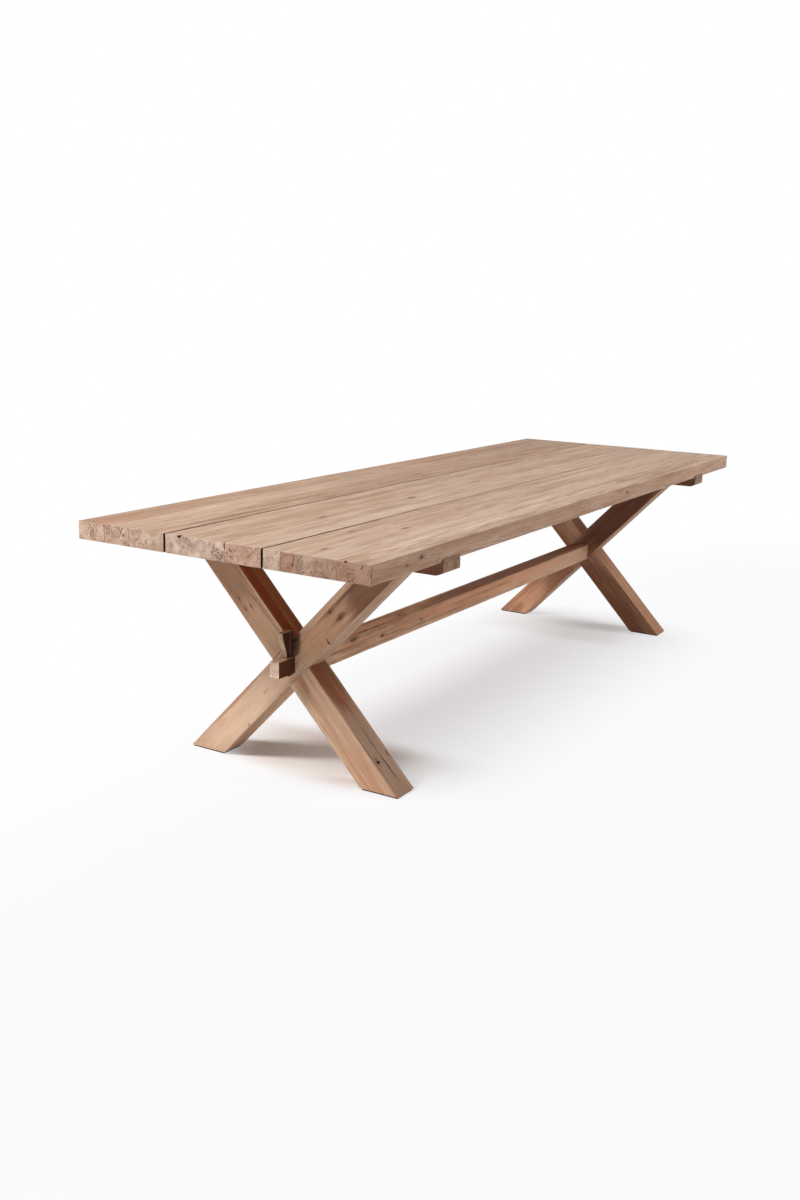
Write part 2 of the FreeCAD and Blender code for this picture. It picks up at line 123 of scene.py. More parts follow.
class Trestle:
    """Where one trestle's beams and joints are."""

    def __init__(self, side):
        self.side, self.sign = side, SIDES[side]
        leg_low, leg_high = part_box(f"{side}_leg_front_foot")
        pad_low, pad_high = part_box(f"{side}_front_foot_pad")
        self.batten_low, self.batten_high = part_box(f"{side}_batten")
        self.batten = (self.batten_low + self.batten_high) / 2
        self.outer = max(abs(leg_low.x), abs(leg_high.x))
        self.inner = min(abs(leg_low.x), abs(leg_high.x))
        self.foot, self.top = pad_high.z, self.batten_low.z
        self.half_level = (pad_high.y - pad_low.y) / 2 + PAD_INSET
        self.foot_spread = abs(pad_high.y + pad_low.y) / 2
        self.head_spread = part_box(f"{side}_leg_pegs")[1].y - PEG_RADIUS
        self.lean = (self.foot_spread + self.head_spread) / (self.top - self.foot)
        self.centre = self.sign * (self.inner + self.outer) / 2
        self.crossing = self.foot + self.foot_spread / self.lean


UNDERSIDE, TOP = (corner.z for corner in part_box("middle_plank_stave_1"))
TRESTLES = {side: Trestle(side) for side in SIDES}
PADS = [f"{side}_{end}_foot_pad" for side in SIDES for end in ENDS]
STAVES = sorted(name for name in frame["nodes"] if "_stave_" in name)
RAIL_LOW, RAIL_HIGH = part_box("stretcher")
TENON_LOW = RAIL_LOW + Vector((0, TENON_SIDE_SHOULDER, TENON_BOTTOM_SHOULDER))
TENON_HIGH = RAIL_HIGH - Vector((0, TENON_SIDE_SHOULDER, TENON_TOP_SHOULDER))
TUSKS = {side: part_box(f"{side}_tusk") for side in SIDES}
BODY_OF = {node: body for body, nodes in frame["record"]["behaviour"]["bodies"].items()
           for node in nodes}


# ---- Settings

def measure(name, text, value):
    return FloatProperty(name=name, description=text, default=value, min=0.0, unit="LENGTH",
                         subtype="DISTANCE", precision=5)


def tone(name, text, *levels):
    return FloatVectorProperty(name=name, description=text, default=srgb(*levels), size=4,
                               min=0.0, max=1.0, subtype="COLOR")


class SawbuckWear(bpy.types.PropertyGroup):
    """How years of use have shaped the timber."""

    edge: measure("Plank edge", "Rounding of a plank's open edges", 2.6 * MM)
    glue_edge: measure("Glued edge", "Rounding of a stave's edge along a glue line", 0.7 * MM)
    end_edge: measure("End edge", "Rounding round a plank's end", 1.6 * MM)
    beam_edge: measure("Beam edge", "Flat worn on the trestle beams' long edges", 3.0 * MM)
    small_edge: measure("Small edge", "Rounding of tusks, tenons and battens", 2.2 * MM)
    sway: measure("Surface sway", "How far a worn face sinks between its high spots", 0.7 * MM)


class SawbuckTones(bpy.types.PropertyGroup):
    """The timber's colours."""

    pale: tone("Pale", "Bleached streaks", 216, 190, 169)
    middle: tone("Middle", "Most of the timber", 190, 162, 139)
    brown: tone("Brown", "Darker streaks", 154, 121, 98)
    red: tone("Red", "Reddish heartwood", 170, 112, 82)
    end_pale: tone("End pale", "Pale end grain", 210, 185, 165)
    end_brown: tone("End brown", "Darker rings on end grain", 150, 116, 95)
    end_red: tone("End red", "Pinkish end grain", 172, 124, 100)
    end_fleck: tone("End fleck", "Torn fibres on end grain", 92, 56, 44)
    knot: tone("Knot", "Heart of a knot", 104, 68, 46)
    split: tone("Split", "Inside splits and holes", 52, 30, 19)
    pad: tone("Pad", "Foot pads", 30, 25, 23)
    steel: tone("Steel", "Screws and nails", 176, 172, 164)


class SawbuckStage(bpy.types.PropertyGroup):
    """Floor, background and lamps."""

    floor: tone("Floor", "Studio floor", 250, 250, 252)
    sky: FloatProperty(name="Sky", description="Light from all round", default=0.20, min=0.0)
    key: FloatProperty(name="Key lamp", description="Power of the large lamp at the back left",
                       default=335.0, min=0.0, unit="POWER")
    fill: FloatProperty(name="Fill lamp", description="Power of the large lamp at the front right",
                        default=165.0, min=0.0, unit="POWER")


# ---- Node trees written as formulas

class Wire:
    """An output socket in a node tree; arithmetic on it adds Math nodes to that tree."""

    def __init__(self, tree, socket):
        self.tree, self.socket = tree, socket

    def math(self, operation, *others):
        return add(self.tree, "ShaderNodeMath", {"operation": operation},
                   dict(enumerate((self, *others))))

    def vector(self, operation, *others):
        result = "Value" if operation in ("LENGTH", "DOT_PRODUCT") else "Vector"
        return add(self.tree, "ShaderNodeVectorMath", {"operation": operation},
                   dict(enumerate((self, *others))), result)

    def scaled(self, factor):
        return add(self.tree, "ShaderNodeVectorMath", {"operation": "SCALE"},
                   {"Vector": self, "Scale": factor}, "Vector")

    def parts(self):
        """The three coordinates of a vector."""
        first = add(self.tree, "ShaderNodeSeparateXYZ", {}, {0: self})
        return [Wire(self.tree, socket) for socket in first.socket.node.outputs]

    def ramp(self, low, high):
        """0 at low, 1 at high, smooth between."""
        return add(self.tree, "ShaderNodeMapRange", {"interpolation_type": "SMOOTHSTEP"},
                   {"Value": self, "From Min": low, "From Max": high})

    def __add__(self, other):
        return self.math("ADD", other)

    def __sub__(self, other):
        return self.math("SUBTRACT", other)

    def __rsub__(self, other):
        return self * -1 + other

    def __mul__(self, other):
        return self.math("MULTIPLY", other)

    def __truediv__(self, other):
        return self.math("DIVIDE", other)

    def __rtruediv__(self, other):
        return self ** -1 * other

    def __pow__(self, other):
        return self.math("POWER", other)

    def __abs__(self):
        return self.math("ABSOLUTE")

    __radd__, __rmul__ = __add__, __mul__


def add(tree, kind, settings=None, inputs=None, output=0):
    """A new node: its settings first, then a value, a wire or several for each socket named."""
    node = tree.nodes.new(kind)
    for name, value in (settings or {}).items():
        if name == "stops":
            set_stops(node.color_ramp, value)
        else:
            setattr(node, name, value)
    for name, value in (inputs or {}).items():
        if isinstance(value, (Wire, list)):
            for wire in [value] if isinstance(value, Wire) else value:
                tree.links.new(wire.socket, node.inputs[name])
        else:
            node.inputs[name].default_value = value
    return Wire(tree, node.outputs[output]) if node.outputs else None


def set_stops(color_ramp, stops):
    while len(color_ramp.elements) < len(stops):
        color_ramp.elements.new(0.5)
    for element, (position, shade) in zip(color_ramp.elements, stops):
        element.position, element.color = position, shade


def joined(tree, x, y, z):
    return add(tree, "ShaderNodeCombineXYZ", {}, {0: x, 1: y, 2: z})


def noise(point, along, across, detail=2.0, rough=0.5, shift=0.0):
    """Noise from 0 to 1, with so many features a metre along the grain and across it."""
    moved = point.vector("MULTIPLY_ADD", (along, across, across), (shift, shift, shift))
    return add(point.tree, "ShaderNodeTexNoise", {},
               {"Vector": moved, "Scale": 1.0, "Detail": detail, "Roughness": rough})


def mixed(factor, low, high, blend="MIX"):
    """Two colours mixed by a factor; at least one of the three is a wire."""
    tree = next(item.tree for item in (factor, low, high) if isinstance(item, Wire))
    return add(tree, "ShaderNodeMix", {"data_type": "RGBA", "blend_type": blend},
               {0: factor, 6: low, 7: high}, 2)


# ---- Geometry Nodes trees

SOCKET_KINDS = {float: "NodeSocketFloat", int: "NodeSocketInt", tuple: "NodeSocketVector"}


def geometry_tree(name, sizes):
    """A new tree with an input for each size and for its material; returns it with their wires."""
    tree = bpy.data.node_groups.new(name, "GeometryNodeTree")
    tree.is_modifier = True
    for label, default in sizes.items():
        kind = SOCKET_KINDS[type(default)]
        socket = tree.interface.new_socket(label, in_out="INPUT", socket_type=kind)
        socket.default_value = default
    tree.interface.new_socket("Material", in_out="INPUT", socket_type="NodeSocketMaterial")
    tree.interface.new_socket("Mesh", in_out="OUTPUT", socket_type="NodeSocketGeometry")
    given = tree.nodes.new("NodeGroupInput").outputs
    return tree, {label: Wire(tree, given[label]) for label in (*sizes, "Material")}


def close_tree(tree, mesh, material):
    """End a tree in real geometry with its material."""
    real = add(tree, "GeometryNodeRealizeInstances", {}, {"Geometry": mesh})
    dressed = add(tree, "GeometryNodeSetMaterial", {}, {"Geometry": real, "Material": material})
    tree.links.new(dressed.socket, tree.nodes.new("NodeGroupOutput").inputs[0])


def placed(name, data):
    """A new object in the scene."""
    item = bpy.data.objects.new(name, data)
    bpy.context.scene.collection.objects.link(item)
    return item


def grown(tree, **values):
    """The plain mesh that a tree makes; an input's name is written with _ for each space."""
    holder = placed(tree.name, bpy.data.meshes.new(tree.name))
    modifier = holder.modifiers.new(tree.name, "NODES")
    modifier.node_group = tree
    for item in tree.interface.items_tree:
        key = item.name.lower().replace(" ", "_")
        if item.in_out == "INPUT" and key in values:
            modifier[item.identifier] = values[key]
    mesh = applied(holder)
    if mesh.materials[0] is None:
        mesh.materials.pop(index=0)
    return mesh


def applied(holder):
    """The mesh of an object with its modifiers applied; the object itself is removed."""
    graph = bpy.context.evaluated_depsgraph_get()
    mesh = bpy.data.meshes.new_from_object(holder.evaluated_get(graph))
    bpy.data.objects.remove(holder)
    return mesh


# A board's cells: along its grain, across and through it.
PLANK_CELL, BATTEN_CELL = (12 * MM, 6 * MM, 7 * MM), (9 * MM, 8 * MM, 5 * MM)
BEAM_CELL, RAIL_CELL = (9 * MM, 8 * MM, 7 * MM), (9 * MM, 5 * MM, 5 * MM)
TENON_CELL, TUSK_CELL = (4 * MM, 4 * MM, 4 * MM), (2.5 * MM, 3 * MM, 3 * MM)
PAD_CELL = (4 * MM, 4 * MM, 2 * MM)
# The rim where its cells are finer, and the roundings that aren't among the settings.
ZONE_CELLS = 5
EDGE_ZONE, TENON_ZONE, PAD_ZONE = 6 * MM, 5 * MM, 2 * MM
RAIL_END_EDGE, TENON_EDGE, PAD_EDGE = 0.6 * MM, 1.4 * MM, 0.8 * MM
BOARD_SIZES = {
    "Length": 1.0, "Width": 0.1, "Thickness": 0.05, "Cells Long": 40, "Cells Wide": 20,
    "Cells Thick": 16, "Edge Zone": 0.01, "Low Edge": 0.003, "High Edge": 0.003,
    "End Edge": 0.002, "Chamfer": 0.0, "Sway": 0.0005, "Shift": 0.0}


def board_tree():
    """A board with its grain along X: edges rounded unevenly, with chips, and faces that sway."""
    tree, size = geometry_tree("Worn Board", BOARD_SIZES)
    cells = [size[f"Cells {name}"] for name in ("Long", "Wide", "Thick")]
    cube = add(tree, "GeometryNodeMeshCube", {},
               {"Size": (1.0, 1.0, 1.0), **{f"Vertices {a}": n + 1 for a, n in zip("XYZ", cells)}})
    spans = [size[name] / 2 for name in ("Length", "Width", "Thickness")]
    zone = size["Edge Zone"]
    flat = []
    for share, half, count in zip(add(tree, "GeometryNodeInputPosition").parts(), spans, cells):
        out = abs(share) * 2
        knee = 1 - 2 * ZONE_CELLS / count
        inside = (out / knee).math("MINIMUM", 1.0) * (half - zone)
        outside = (out - knee).math("MAXIMUM", 0.0) / (1 - knee) * zone
        flat.append(share.math("SIGN") * (inside + outside))
    point = joined(tree, *flat)

    place = point.vector("ADD", joined(tree, *[size["Shift"]] * 3))
    uneven = noise(place, 14, 30, detail=3, shift=3.1)
    chip = noise(place, 26, 60, shift=9.7).ramp(0.66, 0.74)
    side = flat[1].ramp(-1 * MM, 1 * MM)
    edge = size["Low Edge"] * (1 - side) + size["High Edge"] * side
    near_end = (abs(flat[0]) - spans[0]).ramp(-3 * zone, -1.5 * zone)
    edge = edge * (1 - near_end) + size["End Edge"] * near_end
    radius = edge * (0.55 + 0.9 * uneven + 1.1 * chip)

    room = joined(tree, *[half - radius for half in spans])
    core = point.vector("MINIMUM", room).vector("MAXIMUM", room.scaled(-1.0))
    outward = point.vector("SUBTRACT", core)
    round_reach = outward.vector("LENGTH")
    flat_reach = sum(outward.vector("ABSOLUTE").parts())
    reach = round_reach + (flat_reach - round_reach) * size["Chamfer"]
    sink = size["Sway"] * noise(place, 2.5, 16, detail=3, shift=5.3)
    worn = core.vector("ADD", outward.scaled((radius - sink) / reach))
    wear = ((round_reach / radius - 1) / (math.sqrt(2) - 1)).math("MINIMUM", 1.0)

    marked = add(tree, "GeometryNodeStoreNamedAttribute", {"data_type": "FLOAT", "domain": "POINT"},
                 {"Geometry": cube, "Name": "wear", "Value": wear})
    shaped = add(tree, "GeometryNodeSetPosition", {}, {"Geometry": marked, "Position": worn})
    smooth = add(tree, "GeometryNodeSetShadeSmooth", {}, {"Geometry": shaped})
    close_tree(tree, smooth, size["Material"])


FASTENER_SIZES = {
    "Count": 2, "Start": (0.0, 0.0, 0.0), "Step": (0.0, 0.1, 0.0), "Turn": (0.0, 0.0, 0.0),
    "Sides": 24, "Head Radius": 0.006, "Neck Radius": 0.003, "Head Height": 0.004,
    "Tip Radius": 0.001, "Length": 0.05, "Crown": 0.0, "Slot Width": 0.0, "Slot Depth": 0.0,
    "Seed": 1}
FACE_LEVEL = 0.01 * MM


def fastener_tree():
    """A row of screws, nails or pegs, each with its head's face at its point and shank along Z."""
    tree, size = geometry_tree("Fasteners", FASTENER_SIZES)

    def cone(low, high, length, rows, fill):
        return add(tree, "GeometryNodeMeshCone", {}, {
            "Vertices": size["Sides"], "Side Segments": rows, "Fill Segments": fill,
            "Radius Bottom": size[low], "Radius Top": size[high], "Depth": size[length]})

    def joined_by(operation, sockets):
        kind = "GeometryNodeMeshBoolean"
        return add(tree, kind, {"operation": operation, "solver": "EXACT"}, sockets)

    head = cone("Head Radius", "Neck Radius", "Head Height", 3, 4)
    shank = add(tree, "GeometryNodeTransform", {},
                {"Geometry": cone("Neck Radius", "Tip Radius", "Length", 12, 3),
                 "Translation": joined(tree, 0.0, 0.0, size["Head Height"])})
    body = joined_by("UNION", {"Mesh 2": [head, shank]})
    groove = joined(tree, size["Head Radius"] * 3, size["Slot Width"], size["Slot Depth"] * 2)
    slot = add(tree, "GeometryNodeMeshCube", {}, {"Size": groove})
    slotted = add(tree, "GeometryNodeSwitch", {"input_type": "GEOMETRY"},
                  {"Switch": size["Slot Depth"].math("GREATER_THAN", 0.0), "False": body,
                   "True": joined_by("DIFFERENCE", {"Mesh 1": body, "Mesh 2": slot})})
    x, y, z = add(tree, "GeometryNodeInputPosition").parts()
    off_axis = (x ** 2 + y ** 2) ** 0.5 / size["Head Radius"]
    crowned = z + size["Crown"] * off_axis ** 2 * z.math("LESS_THAN", FACE_LEVEL)
    domed = add(tree, "GeometryNodeSetPosition", {},
                {"Geometry": slotted, "Position": joined(tree, x, y, crowned)})
    row = add(tree, "GeometryNodeMeshLine", {},
              {"Count": size["Count"], "Start Location": size["Start"], "Offset": size["Step"]})
    spin = add(tree, "FunctionNodeRandomValue", {"data_type": "FLOAT"},
               {2: 0.0, 3: math.tau, "Seed": size["Seed"]}, 1)
    own = add(tree, "FunctionNodeEulerToRotation", {}, {0: joined(tree, 0.0, 0.0, spin)})
    lean = add(tree, "FunctionNodeEulerToRotation", {}, {0: size["Turn"]})
    turn = add(tree, "FunctionNodeRotateRotation", {"rotation_space": "LOCAL"},
               {"Rotation": lean, "Rotate By": own})
    several = add(tree, "GeometryNodeInstanceOnPoints", {},
                  {"Points": row, "Instance": domed, "Rotation": turn})
    close_tree(tree, several, size["Material"])


# ---- Meshes: carving and placing

def solid(points, faces):
    mesh = bpy.data.meshes.new("solid")
    mesh.from_pydata([tuple(point) for point in points], [], faces)
    return mesh


def tube(rings):
    """Two rings of as many points each, joined by walls and closed at both ends."""
    count = len(rings) // 2
    walls = [(i, (i + 1) % count, (i + 1) % count + count, i + count) for i in range(count)]
    return solid(rings, [tuple(range(count))[::-1], tuple(range(count, 2 * count)), *walls])


def block(low, high, lean=0.0, level=0.0):
    """A box from corner to corner; with a lean, it shifts along Y as it rises from a level."""
    points = [Vector((x, y + lean * (z - level), z))
              for x in (low[0], high[0]) for y in (low[1], high[1]) for z in (low[2], high[2])]
    faces = [(0, 1, 3, 2), (4, 6, 7, 5), (0, 4, 5, 1), (2, 3, 7, 6), (0, 2, 6, 4), (1, 5, 7, 3)]
    return solid(points, faces)


def prism(outline, low, high):
    """A section of (x, z) points, anticlockwise as seen from -Y, pushed from y low to y high."""
    return tube([(x, y, z) for y in (low, high) for x, z in outline])


def rod(start, finish, radius, sides=24):
    """A plain round bar between two points."""
    along = Vector(finish) - Vector(start)
    first = along.normalized().orthogonal().normalized()
    second = along.normalized().cross(first)
    ring = [radius * (math.cos(math.tau * i / sides) * first
                      + math.sin(math.tau * i / sides) * second) for i in range(sides)]
    return tube([Vector(place) + out for place in (start, finish) for out in ring])


def together(meshes):
    """Several meshes as one."""
    built = bmesh.new()
    for mesh in meshes:
        built.from_mesh(mesh)
    result = bpy.data.meshes.new("together")
    built.to_mesh(result)
    built.free()
    for material in meshes[0].materials:
        result.materials.append(material)
    return result


def carved(mesh, *tools, operation="DIFFERENCE"):
    """A mesh with one tool's shape after another cut out of it, or joined to it."""
    for tool in tools:
        holders = []
        for data in (mesh, tool):
            built = bmesh.new()
            built.from_mesh(data)
            if data is tool:
                bmesh.ops.recalc_face_normals(built, faces=built.faces)
            built.to_mesh(data)
            built.free()
            holders.append(placed("carving", data))
        modifier = holders[0].modifiers.new("Carve", "BOOLEAN")
        modifier.operation, modifier.solver, modifier.object = operation, "EXACT", holders[1]
        modifier.material_mode = "TRANSFER" if tool.materials else "INDEX"
        mesh = applied(holders[0])
        bpy.data.objects.remove(holders[1])
    return mesh


def reshaped(mesh, rule):
    """A mesh whose every vertex is moved by a rule."""
    for vertex in mesh.vertices:
        vertex.co = rule(vertex.co)
    return mesh


SPLIT_LIFT = 1.5 * MM


def fissure(path, widths, inward):
    """A wedge that opens a split along a path on a surface and narrows to nothing inside."""
    points, faces = [], []
    lift = inward.normalized() * -SPLIT_LIFT
    for number, (place, width) in enumerate(zip(path, widths)):
        step = path[min(number + 1, len(path) - 1)] - path[max(number - 1, 0)]
        across = step.cross(inward).normalized() * width / 2
        points += [place + across + lift, place - across + lift, place + inward]
    for start in range(0, len(points) - 3, 3):
        for a, b in ((0, 1), (1, 2), (2, 0)):
            faces.append((start + a, start + b, start + b + 3, start + a + 3))
    faces += [(2, 1, 0), (len(points) - 3, len(points) - 2, len(points) - 1)]
    return solid(points, faces)


def crack(start, finish, width, inward, seed, steps=7, wander=0.05):
    """A split, width millimetres wide, that wanders between two points on a surface."""
    dice = random.Random(seed)
    start, finish, inward = Vector(start), Vector(finish), Vector(inward)
    run = finish - start
    aside = run.cross(inward).normalized() * run.length
    path, widths = [], []
    for step in range(steps + 1):
        share = step / steps
        bend = dice.uniform(-wander, wander) * math.sin(math.pi * share) ** 0.5
        path.append(start + run * share + aside * bend)
        swell = 0.12 + 0.88 * math.sin(math.pi * share) ** 0.8 * dice.uniform(0.7, 1.2)
        widths.append(width * MM * swell)
    return fissure(path, widths, inward)


def pocket(place, radii, seed):
    """A rough hole where a knot or a chip has gone."""
    dice = random.Random(seed)
    built = bmesh.new()
    bmesh.ops.create_icosphere(built, subdivisions=2, radius=1)
    for vertex in built.verts:
        vertex.co = Vector(place) + Vector([a * r * dice.uniform(0.8, 1.15)
                                            for a, r in zip(vertex.co, radii)])
    mesh = bpy.data.meshes.new("pocket")
    built.to_mesh(mesh)
    built.free()
    return mesh


def split_open(mesh, tools):
    """Cut splits and holes, dark inside, one after another."""
    for tool in tools:
        tool.materials.append(hollow())
    return carved(mesh, *tools)


SPLIT_SPACING = 34 * MM


def end_splits(low, high, seed):
    """Short splits scattered over both ends of a stave."""
    dice = random.Random(seed)
    tools = []
    for end in (low.x, high.x):
        for _ in range(max(2, round((high.y - low.y) / SPLIT_SPACING))):
            y = dice.uniform(low.y + 6 * MM, high.y - 6 * MM)
            z = dice.uniform(low.z + 5 * MM, high.z - 12 * MM)
            length, lean = dice.uniform(6, 22) * MM, dice.uniform(-0.5, 0.5)
            top = min(z + length, high.z - 2 * MM)
            width = dice.uniform(0.5, 1.3)
            depth = dice.uniform(8, 20) * MM * (1 if end < 0 else -1)
            tip = (end, y + lean * (top - z), top)
            tools.append(crack((end, y, z), tip, width, (depth, 0, 0), dice.random()))
    return tools


CREASE = math.radians(32)


def show(name, mesh, node):
    """Put a finished mesh in the scene in a node's place, riding on the node's body."""
    mesh.name = name
    mesh.set_sharp_from_angle(angle=CREASE)
    piece = placed(name, mesh)
    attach(piece, BODY_OF[node])
    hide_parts(node)


def crosswise(low, high):
    """The span of a box whose grain runs along Y."""
    return Vector((high.y - low.y, high.x - low.x, high.z - low.z))


class Lay:
    """How a length of timber lies: its middle, the way its grain runs and which way is up."""

    def __init__(self, middle, along=ALONG, up=UP):
        self.middle = Vector(middle)
        sideways = up.cross(along).normalized()
        self.axes = (along.normalized(), sideways, along.cross(sideways).normalized())
        self.turn = Matrix(self.axes).transposed()

    def matrix(self):
        return Matrix.Translation(self.middle) @ self.turn.to_4x4()


ROOM_FOR_EDGE = 2.4


def worn_board(material, span, lay, cell, seed, edges=None, ends=None, zone=None, chamfer=0.0):
    """A worn board of span (length, width, thickness), put where it lies."""
    wear = bpy.context.scene.sawbuck_wear
    low, high = edges or (wear.small_edge, wear.small_edge)
    ends = ends or wear.end_edge
    zone = zone or ROOM_FOR_EDGE * max(low, high, ends)
    counts = [2 * ZONE_CELLS + max(2, round((size - 2 * zone) / step))
              for size, step in zip(span, cell)]
    mesh = grown(bpy.data.node_groups["Worn Board"], length=span[0], width=span[1],
                 thickness=span[2], cells_long=counts[0], cells_wide=counts[1],
                 cells_thick=counts[2], edge_zone=zone, low_edge=low, high_edge=high,
                 end_edge=ends, chamfer=chamfer, sway=wear.sway, shift=float(seed),
                 material=material)
    mesh.transform(lay.matrix())
    return mesh


# ---- Materials

DUST, RUST = (140, 124, 110), (112, 72, 50)
LOG_STRIDE = 9.0
RING_WIDTH = 4.6 * MM


class Wood:
    """How one piece of timber looks; what is left out is as on the top's plain boards."""

    level = end_level = (1.0, 1.0, 1.0)
    red = pale = end_red = 0.0
    rings, streaks, mottle = 0.5, 1.0, 1.0
    knots = stains = sides = ()

    def __init__(self, seed, pith, **changes):
        self.seed, self.pith = seed, pith
        for name, value in changes.items():
            setattr(self, name, value)


def stains(way, *rows):
    """Colour patches that keep to faces that look one way, or with no way lie on every face:
    stain marks the wood has, and in some rows painted shade or painted highlight.

    A row is a place, the reach along the grain and across it, the strength and a colour.
    """
    return [(row[:3], *row[3:6], row[6:], way) for row in rows]


def cleared(owner):
    """A material or world, and its node tree, emptied."""
    owner.use_nodes = True
    owner.node_tree.nodes.clear()
    return owner, owner.node_tree


def finish(tree, height, strength, depth, sockets):
    """End a material's tree in one surface, bumped by a height."""
    bump = add(tree, "ShaderNodeBump", {},
               {"Height": height, "Strength": strength, "Distance": depth})
    shader = add(tree, "ShaderNodeBsdfPrincipled", {}, {**sockets, "Normal": bump})
    add(tree, "ShaderNodeOutputMaterial", {}, {"Surface": shader})


def timber(name, lay, wood):
    """Solid wood whose log's heart passes the lay's middle at wood.pith, (sideways, up) from it.

    knots are (x, y, z, radius); patches come from the helper above, stain marks and some painted
    shade or painted highlight; sides are (direction, strength, colour), for whole faces that look
    that way, in some woods painted shade. Colours are 0-255 screen levels.
    """
    tones = bpy.context.scene.sawbuck_tones
    material, tree = cleared(bpy.data.materials.new(name))
    here = add(tree, "ShaderNodeTexCoord", output="Object")
    facing = add(tree, "ShaderNodeTexCoord", output="Normal")
    start = lay.middle - lay.axes[0] * LOG_STRIDE * wood.seed
    grain = add(tree, "ShaderNodeMapping", {"vector_type": "TEXTURE"},
                {"Vector": here, "Location": start, "Rotation": lay.turn.to_euler()}, "Vector")

    def local(place):
        return tuple(lay.turn.inverted() @ (Vector(place) - start))

    def toward(direction):
        return facing.vector("DOT_PRODUCT", Vector(direction).normalized()).ramp(0.55, 0.8)

    def tinted(shade, value, level):
        return mixed(1.0, shade, joined(tree, *[value * share for share in level]), "MULTIPLY")

    swing = noise(grain, 0.7, 0.8, detail=1), noise(grain, 0.7, 0.8, detail=1, shift=40)
    wobble = noise(grain, 2.6, 22, detail=2, shift=7)
    along, sideways, up = grain.parts()
    sideways = sideways - wood.pith[0] + (swing[0] - 0.5) * 0.09
    up = up - wood.pith[1] + (swing[1] - 0.5) * 0.07
    radius = (sideways ** 2 + up ** 2) ** 0.5 + (wobble - 0.5) * 0.007

    hearts = []
    for *place, size in wood.knots:
        apart = grain.vector("SUBTRACT", local(place)).vector("MULTIPLY", (0.35, 1.0, 1.0))
        distance = apart.vector("LENGTH") / size
        radius = radius - distance.ramp(3.2, 0.3) * size * 0.8
        torn = noise(grain, 60, 130, shift=91)
        hearts.append(distance + (wobble - 0.5) * 0.7 + (torn - 0.5) * 1.1)

    ring = radius / RING_WIDTH
    turn = ring.math("FRACT")
    late = turn.ramp(0.30, 0.86) * turn.ramp(1.0, 0.92)

    broad = noise(grain, 0.5, 9, detail=2, rough=0.6, shift=17)
    middling = noise(grain, 3.4, 32, detail=4, rough=0.66, shift=61)
    streak = noise(grain, 7, 95, detail=4, rough=0.66, shift=23)
    fibre = noise(grain, 14, 620, detail=2, rough=0.6, shift=31)
    tone_shift = ((broad - 0.5) * 0.95 * wood.mottle + (middling - 0.5) * 1.05 * wood.streaks
                  + (streak - 0.5) * 0.9 * wood.streaks + (0.5 + wood.pale))
    face = add(tree, "ShaderNodeValToRGB",
               {"stops": [(0.10, tones.brown), (0.5, tones.middle), (0.90, tones.pale)]},
               {"Fac": tone_shift})
    redness = noise(grain, 0.8, 10, detail=2, shift=53).ramp(0.48, 0.75) * (0.25 + wood.red)
    lines = noise(grain, 7.0, 240, detail=1, shift=71).ramp(0.66, 0.76)
    fleck = noise(grain, 9, 48, detail=1, shift=77).ramp(0.70, 0.78)
    dash = noise(grain, 16, 150, detail=3, rough=0.7, shift=79).ramp(0.56, 0.70)
    patch = noise(grain, 3, 15, detail=3, rough=0.65, shift=89).ramp(0.35, 0.70)
    for amount, shade in ((redness + wood.red * 0.6, tones.red),
                          (late * (0.5 * wood.rings), tones.brown), (lines * 0.5, tones.knot),
                          (fleck * 0.4, tones.pale), (dash * (0.15 + patch * 0.45), tones.brown)):
        face = mixed(amount, face, shade)

    speck = noise(grain, 3, 210, detail=2, rough=0.7, shift=83)
    cluster = noise(grain, 1, 24, detail=1, shift=87).ramp(0.45, 0.68)
    blotch = noise(grain, 1, 34, detail=3, rough=0.6, shift=97)
    end = add(tree, "ShaderNodeValToRGB",
              {"stops": [(0.15, tones.end_brown), (0.75, tones.end_pale)]},
              {"Fac": (blotch - 0.5) * 1.5 + 0.58 - late * (0.6 * wood.rings)})
    end = mixed(wood.end_red, end, tones.end_red)
    end = mixed(speck.ramp(0.51, 0.60) * (cluster * 0.85 + 0.15), end, tones.end_fleck)
    end = tinted(end, 1.0 + (speck - 0.5) * 0.3, wood.end_level)
    end_look = abs(facing.vector("DOT_PRODUCT", tuple(lay.axes[0])))

    # Whole faces and patches tinted as each wood lists them; some stand for light, as painted shade
    # or painted highlight, noted where listed.
    for direction, strength, shade in wood.sides:
        amount = toward(direction) * strength * (0.86 + middling * 0.3)
        face = mixed(amount, face, srgb(*shade))
    for place, reach, breadth, strength, shade, way in wood.stains:
        apart = grain.vector("SUBTRACT", local(place))
        distance = apart.vector("MULTIPLY", (1 / reach, 1 / breadth, 1 / breadth)).vector("LENGTH")
        edge = distance + (broad - 0.5) * 0.8 + (streak - 0.5) * 0.7
        amount = edge.ramp(1.15, 0.55) * strength
        face = mixed(amount * toward(way) if way else amount, face, srgb(*shade))
    on_end = end_look.ramp(0.62, 0.82)
    colour = mixed(on_end, face, end)

    worn = add(tree, "ShaderNodeAttribute", {"attribute_name": "wear"}, output="Fac")
    rub = worn.ramp(0.1, 0.9) * noise(grain, 9, 40, shift=3).ramp(0.35, 0.6)
    colour = mixed(rub * 0.35, colour, tones.pale)
    for heart in hearts:
        for rim, core, strength, shade in ((2.4, 0.8, 0.5, tones.brown),
                                           (1.15, 0.55, 0.75, tones.knot),
                                           (0.35, 0.1, 0.5, tones.split)):
            colour = mixed(heart.ramp(rim, core) * strength, colour, shade)
    colour = tinted(colour, 1.0 + (fibre - 0.5) * 0.26, wood.level)

    height = (fibre * 0.5 + late * 0.2 - lines * 0.9 + streak * 0.4
              - (speck - 0.5) * on_end * 1.6 - speck.ramp(0.56, 0.66) * cluster * on_end)
    rough = 0.58 + streak * 0.14 + lines * 0.2
    finish(tree, height, 0.6, 0.8 * MM, {"Base Color": colour, "Roughness": rough,
                                         "Specular IOR Level": 0.3})
    return material


